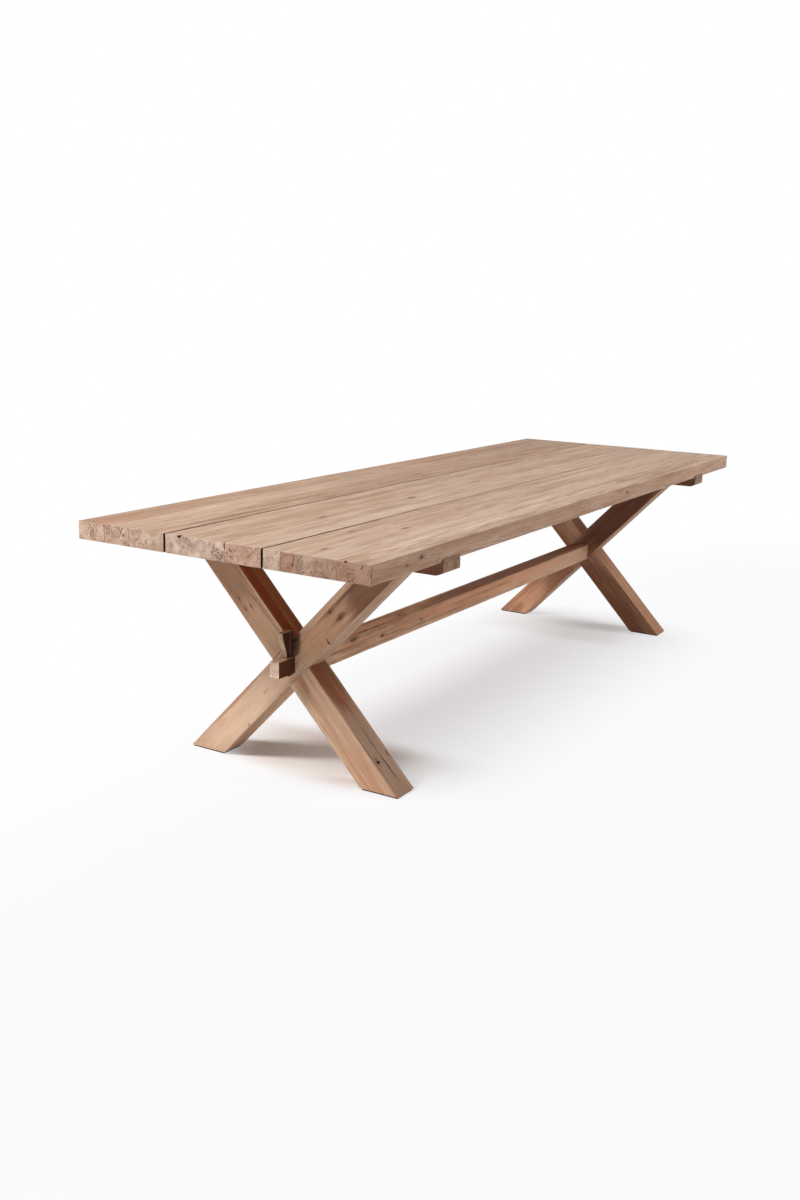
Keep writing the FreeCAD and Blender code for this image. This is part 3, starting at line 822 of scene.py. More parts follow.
def hollow():
    """The dark inside of splits and lost knots."""
    material = bpy.data.materials.get("split_wood")
    if material:
        return material
    tones = bpy.context.scene.sawbuck_tones
    material, tree = cleared(bpy.data.materials.new("split_wood"))
    rough = noise(add(tree, "ShaderNodeTexCoord", output="Object"), 300, 300, detail=3, rough=0.6)
    colour = mixed(rough.ramp(0.35, 0.75) * 0.6, tones.split, tones.knot)
    finish(tree, rough, 0.6, 0.6 * MM, {"Base Color": colour, "Roughness": 0.8 + rough * 0.1,
                                        "Specular IOR Level": 0.15})
    return material


def rubber(name):
    """Dull dark sheet with a worn, dusty rim."""
    material, tree = cleared(bpy.data.materials.new(name))
    here = add(tree, "ShaderNodeTexCoord", output="Object")
    worn = add(tree, "ShaderNodeAttribute", {"attribute_name": "wear"}, output="Fac")
    dust = noise(here, 60, 60, detail=3).ramp(0.35, 0.8) * 0.2 + worn * 0.1
    colour = mixed(dust, bpy.context.scene.sawbuck_tones.pad, srgb(*DUST))
    finish(tree, noise(here, 900, 900, detail=1), 0.4, 0.4 * MM,
           {"Base Color": colour, "Roughness": 0.75 + dust * 0.15})
    return material


def metal(name):
    """Steel gone dull, with brown spots of rust."""
    material, tree = cleared(bpy.data.materials.new(name))
    here = add(tree, "ShaderNodeTexCoord", output="Object")
    rust = noise(here, 260, 260, detail=3, rough=0.65).ramp(0.52, 0.66)
    colour = mixed(rust, bpy.context.scene.sawbuck_tones.steel, srgb(*RUST))
    finish(tree, noise(here, 1500, 200, detail=1) + rust, 0.3, 0.2 * MM,
           {"Base Color": colour, "Metallic": 1 - rust * 0.85, "Roughness": 0.38 + rust * 0.4})
    return material


# ---- The stage

CAMERA_PLACE = (-3.9763, -2.0593, 1.3973)
CAMERA_YAW, CAMERA_PITCH, CAMERA_ROLL = (math.radians(a) for a in (59.2055, -13.6968, 1.5294))
FOCAL_PIXELS, FRAME_PIXELS, SENSOR = 1213.4772, 1200, 36.0
KEY_LAMP = (-4.2, 2.6, 4.4), (-0.3, 0.0, 0.5), 1.6
FILL_LAMP = (2.6, -4.2, 4.6), (0.2, 0.0, 0.5), 3.0
FLOOR_HALF, FLOOR_THICKNESS = 30, 10 * MM


def camera():
    yaw, pitch, roll = CAMERA_YAW, CAMERA_PITCH, CAMERA_ROLL
    forward = Vector((math.sin(yaw) * math.cos(pitch), math.cos(yaw) * math.cos(pitch),
                      math.sin(pitch)))
    level = Vector((math.cos(yaw), -math.sin(yaw), 0))
    head = level.cross(forward)
    right = level * math.cos(roll) + head * math.sin(roll)
    up = head * math.cos(roll) - level * math.sin(roll)
    data = bpy.data.cameras.new("camera")
    data.sensor_width, data.lens = SENSOR, FOCAL_PIXELS * SENSOR / FRAME_PIXELS
    eye = placed("camera", data)
    turn = Matrix((right, up, -forward)).transposed().to_4x4()
    eye.matrix_world = Matrix.Translation(CAMERA_PLACE) @ turn
    bpy.context.scene.camera = eye


def lamp(name, place, target, size, power):
    data = bpy.data.lights.new(name, "AREA")
    data.shape, data.size, data.energy = "DISK", size, power
    light = placed(name, data)
    light.location = place
    light.rotation_euler = (Vector(target) - Vector(place)).to_track_quat("-Z", "Y").to_euler()


def background_rays(tree):
    """1 for rays from the camera and for those that metal or glass sends on."""
    path = tree.nodes.new("ShaderNodeLightPath")
    kinds = ("Is Camera Ray", "Is Glossy Ray", "Is Transmission Ray")
    return sum(Wire(tree, path.outputs[kind]) for kind in kinds).math("MINIMUM", 1.0)


WHITE = (1.0, 1.0, 1.0, 1.0)
SHADOW_GROUND = (226, 220, 216)
SHADOW_HALF_LENGTH, SHADOW_FADE, SHADOW_Y, BEAM_SHADOW_X = 1.0, 1.6, -0.05, 0.98


def floor_material(shade):
    """A pale floor that keeps the table's shadows, lightened for camera rays by a glow (painted
    light) that is least under the beams, with a painted shadow colour under the near trestle's
    beams; plain white further off.
    """
    material, tree = cleared(bpy.data.materials.new("studio_floor"))
    x, y, z = add(tree, "ShaderNodeTexCoord", output="Object").parts()
    beyond = (abs(x) - SHADOW_HALF_LENGTH).math("MAXIMUM", 0.0) * SHADOW_FADE
    away = (beyond ** 2 + (y - SHADOW_Y) ** 2) ** 0.5
    under_beams = abs(abs(x) - BEAM_SHADOW_X).ramp(0.26, 0.12) * away.ramp(0.5, 0.25)
    kept = under_beams * (1 - x.ramp(-1, 1) * 0.65) * (y.ramp(-0.34, -0.16) * 0.75 + 0.25)
    # The glow, for camera rays only, lightens the table's shadow on the floor, least under the
    # beams: painted light.
    glowing = (away.ramp(-0.05, 0.68) * 0.55 + 0.45) * (1 - kept)
    far_off = (away.ramp(2.0, 6.0) + y.ramp(-0.3, 0.9)).math("MINIMUM", 1.0)
    seen_shade = mixed(far_off, shade, WHITE)
    # Under the near trestle's beams the floor's colour darkens: a painted shadow.
    ground_shade = mixed(under_beams * x.ramp(0.0, -0.6), shade, srgb(*SHADOW_GROUND))
    ground = add(tree, "ShaderNodeBsdfDiffuse", {}, {"Color": ground_shade})
    glow = add(tree, "ShaderNodeEmission", {}, {"Color": seen_shade, "Strength": 1.0})
    shader = add(tree, "ShaderNodeMixShader", {},
                 {0: background_rays(tree) * glowing, 1: ground, 2: glow})
    add(tree, "ShaderNodeOutputMaterial", {}, {"Surface": shader})
    return material


def world(sky):
    bpy.context.scene.world, tree = cleared(bpy.data.worlds.new("studio"))
    strength = background_rays(tree) * (1 - sky) + sky
    backdrop = add(tree, "ShaderNodeBackground", {}, {"Color": WHITE, "Strength": strength})
    add(tree, "ShaderNodeOutputWorld", {}, {"Surface": backdrop})


# ---- Operators

NEAR_END, FRONT_SIDE, JUST_UNDER = -1.5, -0.5, 0.743
# Colour of the painted shade on the slot walls between staves.
GAP_SHADE = (46, 27, 18)
OUT, FRONT = (-1, 0, 0), (0, -1, 0)


def gap_shade(y, reach, way):
    """Painted shade on a stave's side wall where the slot between two staves opens at the near end.
    """
    return stains((0, way, 0), (-1.45, y, JUST_UNDER, reach, 0.2, 1.0, *GAP_SHADE))
PLANKS = {
    "back_plank_stave_1": Wood(
        1, (0.05, -0.06), red=0.12, level=(0.87, 0.82, 0.78), end_red=0.2,
        end_level=(1.18, 1.26, 1.32),
        stains=stains(UP, (-1.42, 0.425, TOP, 0.15, 0.022, 0.5, 182, 128, 100),
                      (-1.22, 0.45, TOP, 0.20, 0.014, 0.5, 158, 122, 98))),
    "back_plank_stave_2": Wood(
        2, (-0.10, 0.05), pale=0.05, level=(0.85, 0.80, 0.76), end_red=0.1,
        end_level=(1.20, 1.28, 1.34),
        stains=stains(UP, (-1.40, 0.395, TOP, 0.10, 0.008, 0.4, 182, 128, 100),
                      (-1.25, 0.385, TOP, 0.16, 0.006, 0.6, 150, 112, 88))
        + stains(None, (-1.08, 0.362, TOP, 0.05, 0.007, 0.75, 228, 203, 182),
                 (-0.80, 0.350, TOP, 0.09, 0.008, 0.5, 222, 196, 174))),
    "back_plank_stave_3": Wood(
        3, (0.03, -0.09), pale=-0.08, red=0.05, level=(0.88, 0.84, 0.80),
        end_level=(1.16, 1.22, 1.28),
        stains=stains(None, (-0.98, 0.303, TOP, 0.12, 0.012, 0.6, 224, 198, 176))
        + stains(UP, (-1.16, 0.215, TOP, 0.30, 0.016, 0.75, 142, 106, 82),
                 (-0.80, 0.25, TOP, 0.30, 0.022, 0.6, 150, 114, 90)) + gap_shade(0.178, 0.30, -1)),
    "middle_plank_stave_1": Wood(
        4, (-0.04, -0.12), pale=0.05, level=(0.95, 0.93, 0.91), end_level=(1.06, 1.1, 1.15),
        knots=((-0.506, -0.023, TOP, 0.008), (-1.007, -0.009, TOP, 0.006)),
        stains=stains(None, (-1.15, 0.075, TOP, 0.2, 0.012, 0.4, 150, 116, 93))
        + gap_shade(0.172, 0.30, 1)),
    "middle_plank_stave_2": Wood(
        5, (0.09, 0.06), pale=0.03, end_red=0.4,
        stains=stains(None, (-1.15, -0.040, TOP, 0.5, 0.004, 0.5, 226, 200, 178))
        + gap_shade(-0.157, 0.55, -1)),
    "front_plank_stave_1": Wood(
        6, (-0.06, 0.09), knots=((-1.15, -0.208, TOP, 0.006),), stains=gap_shade(-0.163, 0.55, 1)),
    "front_plank_stave_2": Wood(
        7, (0.05, -0.05), red=0.04, end_red=0.55, end_level=(0.80, 0.76, 0.72)),
    "front_plank_stave_3": Wood(
        8, (-0.005, 0.020), rings=0.9, end_level=(0.84, 0.80, 0.76),
        knots=((-1.404, -0.291, TOP, 0.007), (-1.004, -0.301, TOP, 0.007))),
    "front_plank_stave_4": Wood(
        9, (0.02, -0.045), rings=0.9, streaks=1.5, mottle=1.6, end_red=0.5,
        end_level=(0.80, 0.76, 0.72), sides=((FRONT, 0.35, (176, 122, 92)),),
        knots=((-1.255, FRONT_SIDE, 0.751, 0.006), (-1.329, FRONT_SIDE, 0.740, 0.004),
               (0.25, FRONT_SIDE, 0.748, 0.005))),
}


def plank_damage():
    """The splits and holes that stand out on each stave."""

    def at_end(y, z, y_to, z_to, width, seed):
        return crack((NEAR_END, y, z), (NEAR_END, y_to, z_to), width, (0.016, 0, 0), seed)

    def in_side(x, z, x_to, z_to, width, seed):
        return crack((x, FRONT_SIDE, z), (x_to, FRONT_SIDE, z_to), width, (0, 0.012, 0), seed)

    corner = NEAR_END + 1.5 * MM
    return {
        "back_plank_stave_1": [at_end(0.455, 0.724, 0.452, 0.748, 2.4, 1),
                               at_end(0.474, 0.742, 0.462, 0.764, 1.2, 2)],
        "back_plank_stave_3": [at_end(0.282, 0.735, 0.262, 0.758, 1.6, 3),
                               at_end(0.245, 0.728, 0.236, 0.750, 1.8, 4)],
        "middle_plank_stave_1": [
            pocket((NEAR_END + 3 * MM, 0.122, TOP - 2 * MM), (0.010, 0.007, 0.005), 5),
            at_end(0.098, 0.758, 0.080, 0.744, 1.0, 6),
            pocket((NEAR_END, -0.036, 0.762), (0.006, 0.0035, 0.010), 7)],
        "middle_plank_stave_2": [at_end(-0.062, 0.742, -0.076, 0.757, 1.5, 8),
                                 at_end(-0.110, 0.735, -0.124, 0.752, 1.2, 9),
                                 at_end(-0.142, 0.729, -0.150, 0.748, 1.4, 10)],
        "front_plank_stave_2": [at_end(-0.259, 0.727, -0.262, 0.766, 2.0, 11),
                                at_end(-0.2715, 0.724, -0.2695, 0.752, 1.5, 12)],
        "front_plank_stave_3": [at_end(-0.383, 0.762, -0.392, 0.745, 1.3, 13),
                                at_end(-0.355, 0.728, -0.330, 0.733, 1.0, 14)],
        "front_plank_stave_4": [
            at_end(-0.474, 0.7695, -0.467, 0.752, 2.6, 15),
            at_end(-0.404, 0.767, -0.400, 0.753, 1.4, 16),
            in_side(-1.255, 0.745, -1.254, 0.758, 3.2, 17),
            in_side(-1.178, 0.722, -1.160, 0.730, 2.2, 18),
            in_side(-1.162, 0.729, -1.149, 0.744, 2.0, 19),
            crack((corner, FRONT_SIDE, 0.7205), (corner, FRONT_SIDE, 0.7695), 1.6,
                  (0.004, 0.010, 0), 20),
            pocket((NEAR_END, -0.422, TOP), (0.005, 0.006, 0.004), 21),
            in_side(-0.66, 0.733, -0.61, 0.740, 1.2, 22)],
    }


class SAWBUCK_OT_planks(bpy.types.Operator):
    """Nine worn staves, housed for the battens"""

    bl_idname = "sawbuck.planks"
    bl_label = "Planks"

    def execute(self, context):
        wear = context.scene.sawbuck_wear
        damage = plank_damage()
        for name in STAVES:
            low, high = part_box(name)
            lay, look = Lay((low + high) / 2), PLANKS[name]
            edges = [wear.edge if open_edge(name, y) else wear.glue_edge for y in (low.y, high.y)]
            mesh = worn_board(timber(name, lay, look), high - low, lay, PLANK_CELL, look.seed,
                              edges, zone=EDGE_ZONE)
            mesh = carved(mesh, *map(housing, TRESTLES.values()))
            mesh = split_open(mesh, damage.get(name, []) + end_splits(low, high, look.seed))
            show(name + "_wood", mesh, name)
        return {"FINISHED"}


def open_edge(name, y):
    """Whether no stave of the same plank touches a stave's edge."""
    plank = name.split("_stave_")[0]
    corners = [corner.y for other in STAVES if other.startswith(plank) and other != name
               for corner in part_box(other)]
    return all(abs(y - other) > 1 * MM for other in corners)


def dovetail(trestle, grow):
    """A batten's section from below the planks up, a little larger if asked."""
    x, half = trestle.batten.x, (trestle.batten_high.x - trestle.batten_low.x) / 2 + grow
    top = trestle.batten_high.z + grow
    neck = half - DOVETAIL_UNDERCUT
    return [(x - half, UNDERSIDE - OVERRUN), (x + half, UNDERSIDE - OVERRUN), (x + half, UNDERSIDE),
            (x + neck, UNDERSIDE), (x + half, top), (x - half, top), (x - neck, UNDERSIDE),
            (x - half, UNDERSIDE)]


def housing(trestle):
    return prism(dovetail(trestle, 2 * FIT), -CAD_BOX[1].y - OVERRUN, CAD_BOX[1].y + OVERRUN)


class SAWBUCK_OT_battens(bpy.types.Operator):
    """Two dovetailed battens under the top, bevelled at their ends"""

    bl_idname = "sawbuck.battens"
    bl_label = "Battens"

    def execute(self, context):
        for number, trestle in enumerate(TRESTLES.values()):
            self.batten(trestle, f"{trestle.side}_batten", 12 + number)
        return {"FINISHED"}

    def batten(self, trestle, name, seed):
        low, high, middle = trestle.batten_low, trestle.batten_high, trestle.batten
        lay = Lay(middle, ACROSS)
        # The batten's side towards -X is painted dark: painted shade where the top's overhang
        # shades it.
        look = Wood(seed, (0.04, -0.05), level=(0.78, 0.70, 0.62), red=0.35,
                    end_level=(0.80, 0.70, 0.60), sides=((OUT, 0.7, (96, 54, 32)),))
        span = crosswise(low, high)
        mesh = worn_board(timber(name, lay, look), span, lay, BATTEN_CELL, seed, zone=EDGE_ZONE)

        def bevelled(point):
            run = abs(point.y) - (high.y - BATTEN_BEVEL_RUN)
            rise = BATTEN_BEVEL_RISE * max(run, 0) / BATTEN_BEVEL_RUN
            return Vector((point.x, point.y, point.z + rise * (high.z - point.z) / span.z))

        half = span.y / 2
        sections = [[(middle.x + side * (half - DOVETAIL_UNDERCUT), UNDERSIDE),
                     (middle.x + side * half + side * OVERRUN, UNDERSIDE),
                     (middle.x + side * half + side * OVERRUN, high.z),
                     (middle.x + side * half, high.z)] for side in (-1, 1)]
        sections.append(self.rounding(trestle, middle.x - trestle.sign * half))
        cuts = [prism(section, -high.y - OVERRUN, high.y + OVERRUN) for section in sections]
        for end in ENDS.values():
            cuts += [stub_room(trestle, end, FIT), peg_hole(trestle, end)]
        show(name + "_wood", carved(reshaped(mesh, bevelled), *cuts), name)

    def rounding(self, trestle, inner, steps=8):
        """What comes off the lower arris of a batten's inner side."""
        radius, low = trestle.sign * BATTEN_ROUNDING, trestle.batten_low.z
        arc = []
        for step in range(steps + 1):
            angle = math.radians(90 * step / steps)
            arc.append((inner + radius - radius * math.cos(angle),
                        low + BATTEN_ROUNDING - BATTEN_ROUNDING * math.sin(angle)))
        corner = (inner - trestle.sign * OVERRUN, low - OVERRUN)
        return [(corner[0], arc[0][1]), *arc, (inner + radius, corner[1]), corner]


def stub_room(trestle, end, grow=0.0):
    """The block of a leg's stub tenon, a little larger if asked."""
    half = STUB / 2 + Vector((grow, grow, 0))
    x, y = trestle.centre, end * trestle.head_spread
    return block((x - half.x, y - half.y, trestle.top - OVERRUN),
                 (x + half.x, y + half.y, trestle.top + STUB.z + grow))


def peg_hole(trestle, end):
    x, y, z = trestle.batten.x, end * trestle.head_spread, trestle.top + STUB.z / 2
    return rod((x - 1, y, z), (x + 1, y, z), PEG_RADIUS + FIT)


class SAWBUCK_OT_trestles(bpy.types.Operator):
    """Four leaning beams, halved where they cross"""

    bl_idname = "sawbuck.trestles"
    bl_label = "Trestles"

    def execute(self, context):
        for trestle in TRESTLES.values():
            for end, foot in ENDS.items():
                self.beam(context.scene.sawbuck_wear.beam_edge, trestle, end, foot)
        return {"FINISHED"}

    def beam(self, edge, trestle, end, foot):
        name = f"{trestle.side}_leg_{end}_foot"
        look = BEAMS[name]
        middle = Vector((trestle.centre, 0, trestle.crossing))
        height, lean = trestle.top - trestle.foot, -foot * trestle.lean
        wood = timber(name, Lay(middle, Vector((0, lean, 1)), ALONG), look)
        span = Vector((height, 2 * trestle.half_level, trestle.outer - trestle.inner))
        halfway = Vector((trestle.centre, 0, (trestle.top + trestle.foot) / 2))
        mesh = worn_board(wood, span, Lay(halfway, UP, ALONG), BEAM_CELL, look.seed,
                          (edge, edge), chamfer=0.75)
        slant = Matrix.Identity(4)
        slant[1][2], slant[1][3] = lean, -lean * middle.z
        mesh.transform(slant)
        laps_inside = foot == -trestle.sign
        beyond = (trestle.inner - OVERRUN) if laps_inside else (trestle.outer + OVERRUN)
        near, far = sorted((trestle.sign * beyond, trestle.centre))
        half = trestle.half_level
        lap = block((near, -half, trestle.foot - OVERRUN), (far, half, trestle.top + OVERRUN),
                    -lean, middle.z)
        mesh = carved(mesh, lap, tenon_block(FIT))
        mesh = carved(mesh, stub_room(trestle, -foot), operation="UNION")
        mesh = carved(mesh, peg_hole(trestle, -foot))
        show(name + "_wood", split_open(mesh, beam_damage().get(name, [])), name)


FACE, FAR_FACE = -TRESTLES["left"].outer, TRESTLES["right"].inner
ABOVE = (0, -1, 0.9)
BEAMS = {
    "left_leg_back_foot": Wood(
        21, (0.05, -0.07), rings=0.3, mottle=1.7, pale=0.05, red=0.06, level=(1.04, 0.98, 0.91),
        knots=((FACE, -0.142, 0.526, 0.006), (FACE, -0.177, 0.516, 0.008),
               (FACE, 0.156, 0.119, 0.002)),
        stains=stains(
            OUT,
            # Row one is painted shade under the top; rows two to four are the tusk's shadow painted
            # on the face beside it.
            (FACE, -0.270, 0.605, 0.11, 0.075, 0.8, 112, 68, 40),
            (FACE, -0.016, 0.430, 0.030, 0.019, 0.9, 50, 26, 14),
            (FACE, -0.018, 0.408, 0.030, 0.019, 0.9, 50, 26, 14),
            (FACE, -0.016, 0.386, 0.030, 0.019, 0.9, 50, 26, 14),
            (FACE, -0.166, 0.556, 0.10, 0.008, 0.75, 104, 62, 36),
            (FACE, -0.12, 0.46, 0.15, 0.05, 0.4, 202, 146, 102),
            (FACE, -0.148, 0.55, 0.14, 0.005, 0.6, 224, 186, 150),
            (FACE, 0.19, 0.145, 0.22, 0.07, 0.45, 228, 200, 177),
            (FACE, 0.09, 0.24, 0.02, 0.006, 0.5, 172, 122, 94),
            (FACE, 0.262, 0.108, 0.03, 0.010, 0.45, 188, 148, 122),
            (FACE, 0.215, 0.185, 0.22, 0.010, 0.65, 158, 108, 82))),
    "left_leg_front_foot": Wood(
        22, (-0.06, 0.05), rings=0.3, mottle=1.7, red=0.06, level=(1.04, 0.96, 0.87),
        knots=((-1.134, -0.303, 0.095, 0.007), (FACE, 0.192, 0.517, 0.003),
               (FACE, 0.147, 0.500, 0.003), (FACE, 0.166, 0.488, 0.003)),
        # The side that looks up and to the front is darkened as a whole: partly the wood's tone,
        # partly painted shade from the top.
        sides=((ABOVE, 0.3, (120, 84, 62)),),
        stains=stains(
            OUT,
            # Row one is painted shade under the top and row two pales the lower part, painted
            # light; the row at -0.045 is a painted shadow on the lap line.
            (FACE, 0.245, 0.61, 0.17, 0.07, 0.5, 142, 100, 74),
            (FACE, 0.075, 0.41, 0.16, 0.05, 0.5, 224, 186, 156),
            (FACE, 0.205, 0.50, 0.16, 0.006, 0.5, 196, 138, 112),
            (FACE, 0.087, 0.50, 0.16, 0.005, 0.6, 226, 196, 172),
            (FACE, 0.112, 0.50, 0.14, 0.004, 0.5, 226, 196, 172),
            (FACE, -0.045, 0.294, 0.04, 0.012, 0.55, 146, 92, 70),
            (FACE, -0.125, 0.20, 0.20, 0.012, 0.12, 206, 146, 108),
            (FACE, -0.27, 0.05, 0.10, 0.04, 0.22, 196, 140, 106)) + stains(
            ABOVE,
            # Rows one and two darken that side under the top, most near the -X edge: reddish wood
            # with painted shade; the row at -0.10 darkens it near the crossing, partly painted
            # shade.
            (-1.130, 0.108, 0.53, 0.26, 0.028, 0.95, 148, 74, 27),
            (-1.076, 0.108, 0.53, 0.26, 0.030, 0.9, 156, 92, 54),
            (-1.093, 0.135, 0.559, 0.10, 0.0045, 0.75, 160, 108, 46),
            (-1.110, -0.10, 0.31, 0.12, 0.055, 0.85, 124, 68, 34),
            (-1.095, -0.14, 0.28, 0.09, 0.012, 0.5, 172, 112, 72),
            (-1.110, -0.29, 0.10, 0.13, 0.06, 0.5, 160, 140, 126),
            (-1.125, -0.20, 0.17, 0.10, 0.010, 0.6, 104, 74, 56),
            (-1.085, -0.24, 0.15, 0.08, 0.008, 0.5, 190, 166, 146))),
    # The far trestle's darker level is partly the wood's tone, partly painted shade under the
    # table; its first row is painted shade over the upper arm.
    "right_leg_back_foot": Wood(
        23, (0.05, 0.06), rings=0.2, streaks=1.6, mottle=2.2, level=(0.90, 0.76, 0.65), red=0.25,
        stains=stains(
            OUT,
            (FAR_FACE, -0.17, 0.53, 0.30, 0.11, 0.85, 92, 46, 26),
            (FAR_FACE, 0.20, 0.135, 0.22, 0.08, 0.35, 208, 152, 112),
            (FAR_FACE, 0.10, 0.20, 0.12, 0.05, 0.5, 140, 84, 54),
            (FAR_FACE, 0.22, 0.155, 0.16, 0.010, 0.4, 150, 94, 60),
            (FAR_FACE, 0.30, 0.02, 0.06, 0.03, 0.5, 150, 90, 54))),
    # The darker level is partly the wood's tone, partly painted shade under the table; the row on
    # its face is painted shade over the lower arm.
    "right_leg_front_foot": Wood(
        24, (-0.05, -0.06), rings=0.2, streaks=1.6, mottle=2.2, level=(0.94, 0.78, 0.66), red=0.2,
        sides=((ABOVE, 0.4, (196, 150, 116)),),
        stains=stains(OUT, (FAR_FACE, -0.17, 0.16, 0.28, 0.09, 0.5, 98, 58, 36))),
}


def beam_damage():
    """The splits that stand out on the near beams."""
    left, arris = TRESTLES["left"], FACE + 4.4 * MM
    into, above, below = (Vector(way) for way in
                          ((0.010, 0, 0), (0, 0.012, -0.011), (0, 0.012, 0.011)))

    def in_face(y, z, y_to, z_to, width, depth, *rest):
        return crack((FACE, y, z), (FACE, y_to, z_to), width, into * depth, *rest)

    def on_side(x, height, way=1):
        run = left.lean * (height - left.crossing)
        return (x, way * run - left.half_level + 0.2 * MM, height)

    def in_side(x, z, x_to, z_to, width, *rest):
        return crack(on_side(x, z), on_side(x_to, z_to), width, above, *rest)

    return {
        "left_leg_back_foot": [
            in_face(-0.129, 0.444, -0.148, 0.423, 5.0, 1.6, 31),
            in_face(-0.141, 0.533, -0.138, 0.519, 2.4, 0.6, 32),
            in_face(-0.170, 0.522, -0.183, 0.511, 2.2, 0.6, 33),
            crack(on_side(-1.112, 0.545, -1), on_side(-1.103, 0.590, -1), 5.0, below, 39)],
        "left_leg_front_foot": [
            in_face(0.203, 0.594, 0.041, 0.430, 3.0, 0.6, 38, 14, 0.006),
            in_side(-1.108, 0.178, -1.105, 0.108, 3.4, 34, 9, 0.02),
            in_side(-1.106, 0.112, -1.101, 0.026, 4.0, 35, 9, 0.02),
            in_side(-1.072, 0.112, -1.070, 0.088, 4.0, 36),
            crack(on_side(arris, 0.195), on_side(arris, 0.012), 2.6, above * 0.6, 40, 14, 0.004),
            pocket(on_side(-1.134, 0.092), (0.010, 0.004, 0.005), 37)],
    }


def tenon_block(grow):
    room = Vector((OVERRUN, grow, grow))
    return block(TENON_LOW - room, TENON_HIGH + room)


def tusk_depth(side, level):
    """How far a tusk stands out of its trestle at a height above the tenon."""
    low, high = TUSKS[side]
    neck_top, underside = TUSK_NECK_TOP[side], TUSK_HEAD_UNDERSIDE[side]
    slope = (TUSK_NECK - TUSK_TIP) / (TENON_HIGH.z - low.z)
    if level < neck_top:
        return TUSK_NECK + slope * level
    shoulder, head = TUSK_NECK + slope * neck_top, high.x - low.x
    return shoulder + (head - shoulder) * min((level - neck_top) / (underside - neck_top), 1)


RAIL_FRONT, RAIL_TOP = -0.035, 0.3695
RAIL_KNOTS = (
    (-0.859, RAIL_FRONT, 0.360, 0.010), (-0.686, RAIL_FRONT, 0.334, 0.006),
    (-0.430, RAIL_FRONT, 0.335, 0.004), (-0.53, -0.006, RAIL_TOP, 0.005))
RAIL_STAINS_AND_SHADE = [
    # The first row darkens the far part of the rail's top: painted shade under the table's top.
    *stains(UP, (0.45, 0, RAIL_TOP, 0.90, 0.05, 0.75, 112, 70, 50)),
    *stains(FRONT, (0.30, RAIL_FRONT, 0.345, 0.90, 0.03, 0.45, 216, 160, 124),
            (-0.61, RAIL_FRONT, 0.329, 0.09, 0.004, 0.7, 138, 98, 74)),
    *stains(None, (-0.58, -0.03, RAIL_TOP, 0.07, 0.012, 0.6, 130, 90, 64),
            (-0.74, -0.03, RAIL_TOP, 0.12, 0.004, 0.7, 110, 72, 50)),
    *stains(FRONT, (-0.78, RAIL_FRONT, 0.315, 0.22, 0.005, 0.5, 140, 102, 78),
            (-0.20, RAIL_FRONT, 0.355, 0.14, 0.006, 0.4, 222, 184, 154),
            (-0.95, RAIL_FRONT, 0.338, 0.16, 0.005, 0.55, 134, 92, 66),
            (-0.90, RAIL_FRONT, 0.350, 0.20, 0.005, 0.5, 214, 168, 132)),
    *stains(UP, (-0.75, -0.02, RAIL_TOP, 0.30, 0.03, 0.45, 214, 176, 148)),
    *stains(FRONT, (-0.35, RAIL_FRONT, 0.322, 0.25, 0.006, 0.5, 136, 90, 64),
            (0.05, RAIL_FRONT, 0.345, 0.30, 0.006, 0.5, 140, 92, 64))]


def rail_damage():
    """The splits along the rail's front arris and side."""

    def in_top(x, y, x_to, y_to, width, *rest):
        return crack((x, y, RAIL_TOP), (x_to, y_to, RAIL_TOP), width, (0, 0.003, -0.010), *rest)

    def in_side(x, z, x_to, z_to, width, seed):
        return crack((x, RAIL_FRONT, z), (x_to, RAIL_FRONT, z_to), width, (0, 0.012, 0), seed)

    return [in_top(-0.835, -0.022, -0.735, -0.026, 6.0, 61, 9, 0.03),
            in_top(-0.745, -0.023, -0.650, -0.028, 5.0, 62, 9, 0.03),
            in_top(-0.560, -0.010, -0.500, -0.024, 5.0, 63),
            in_side(-0.880, 0.366, -0.868, 0.350, 3.0, 64),
            in_side(-0.868, 0.350, -0.846, 0.362, 3.0, 65),
            pocket((-0.686, RAIL_FRONT, 0.334), (0.006, 0.003, 0.004), 66),
            in_side(0.060, 0.319, 0.085, 0.318, 2.4, 67)]


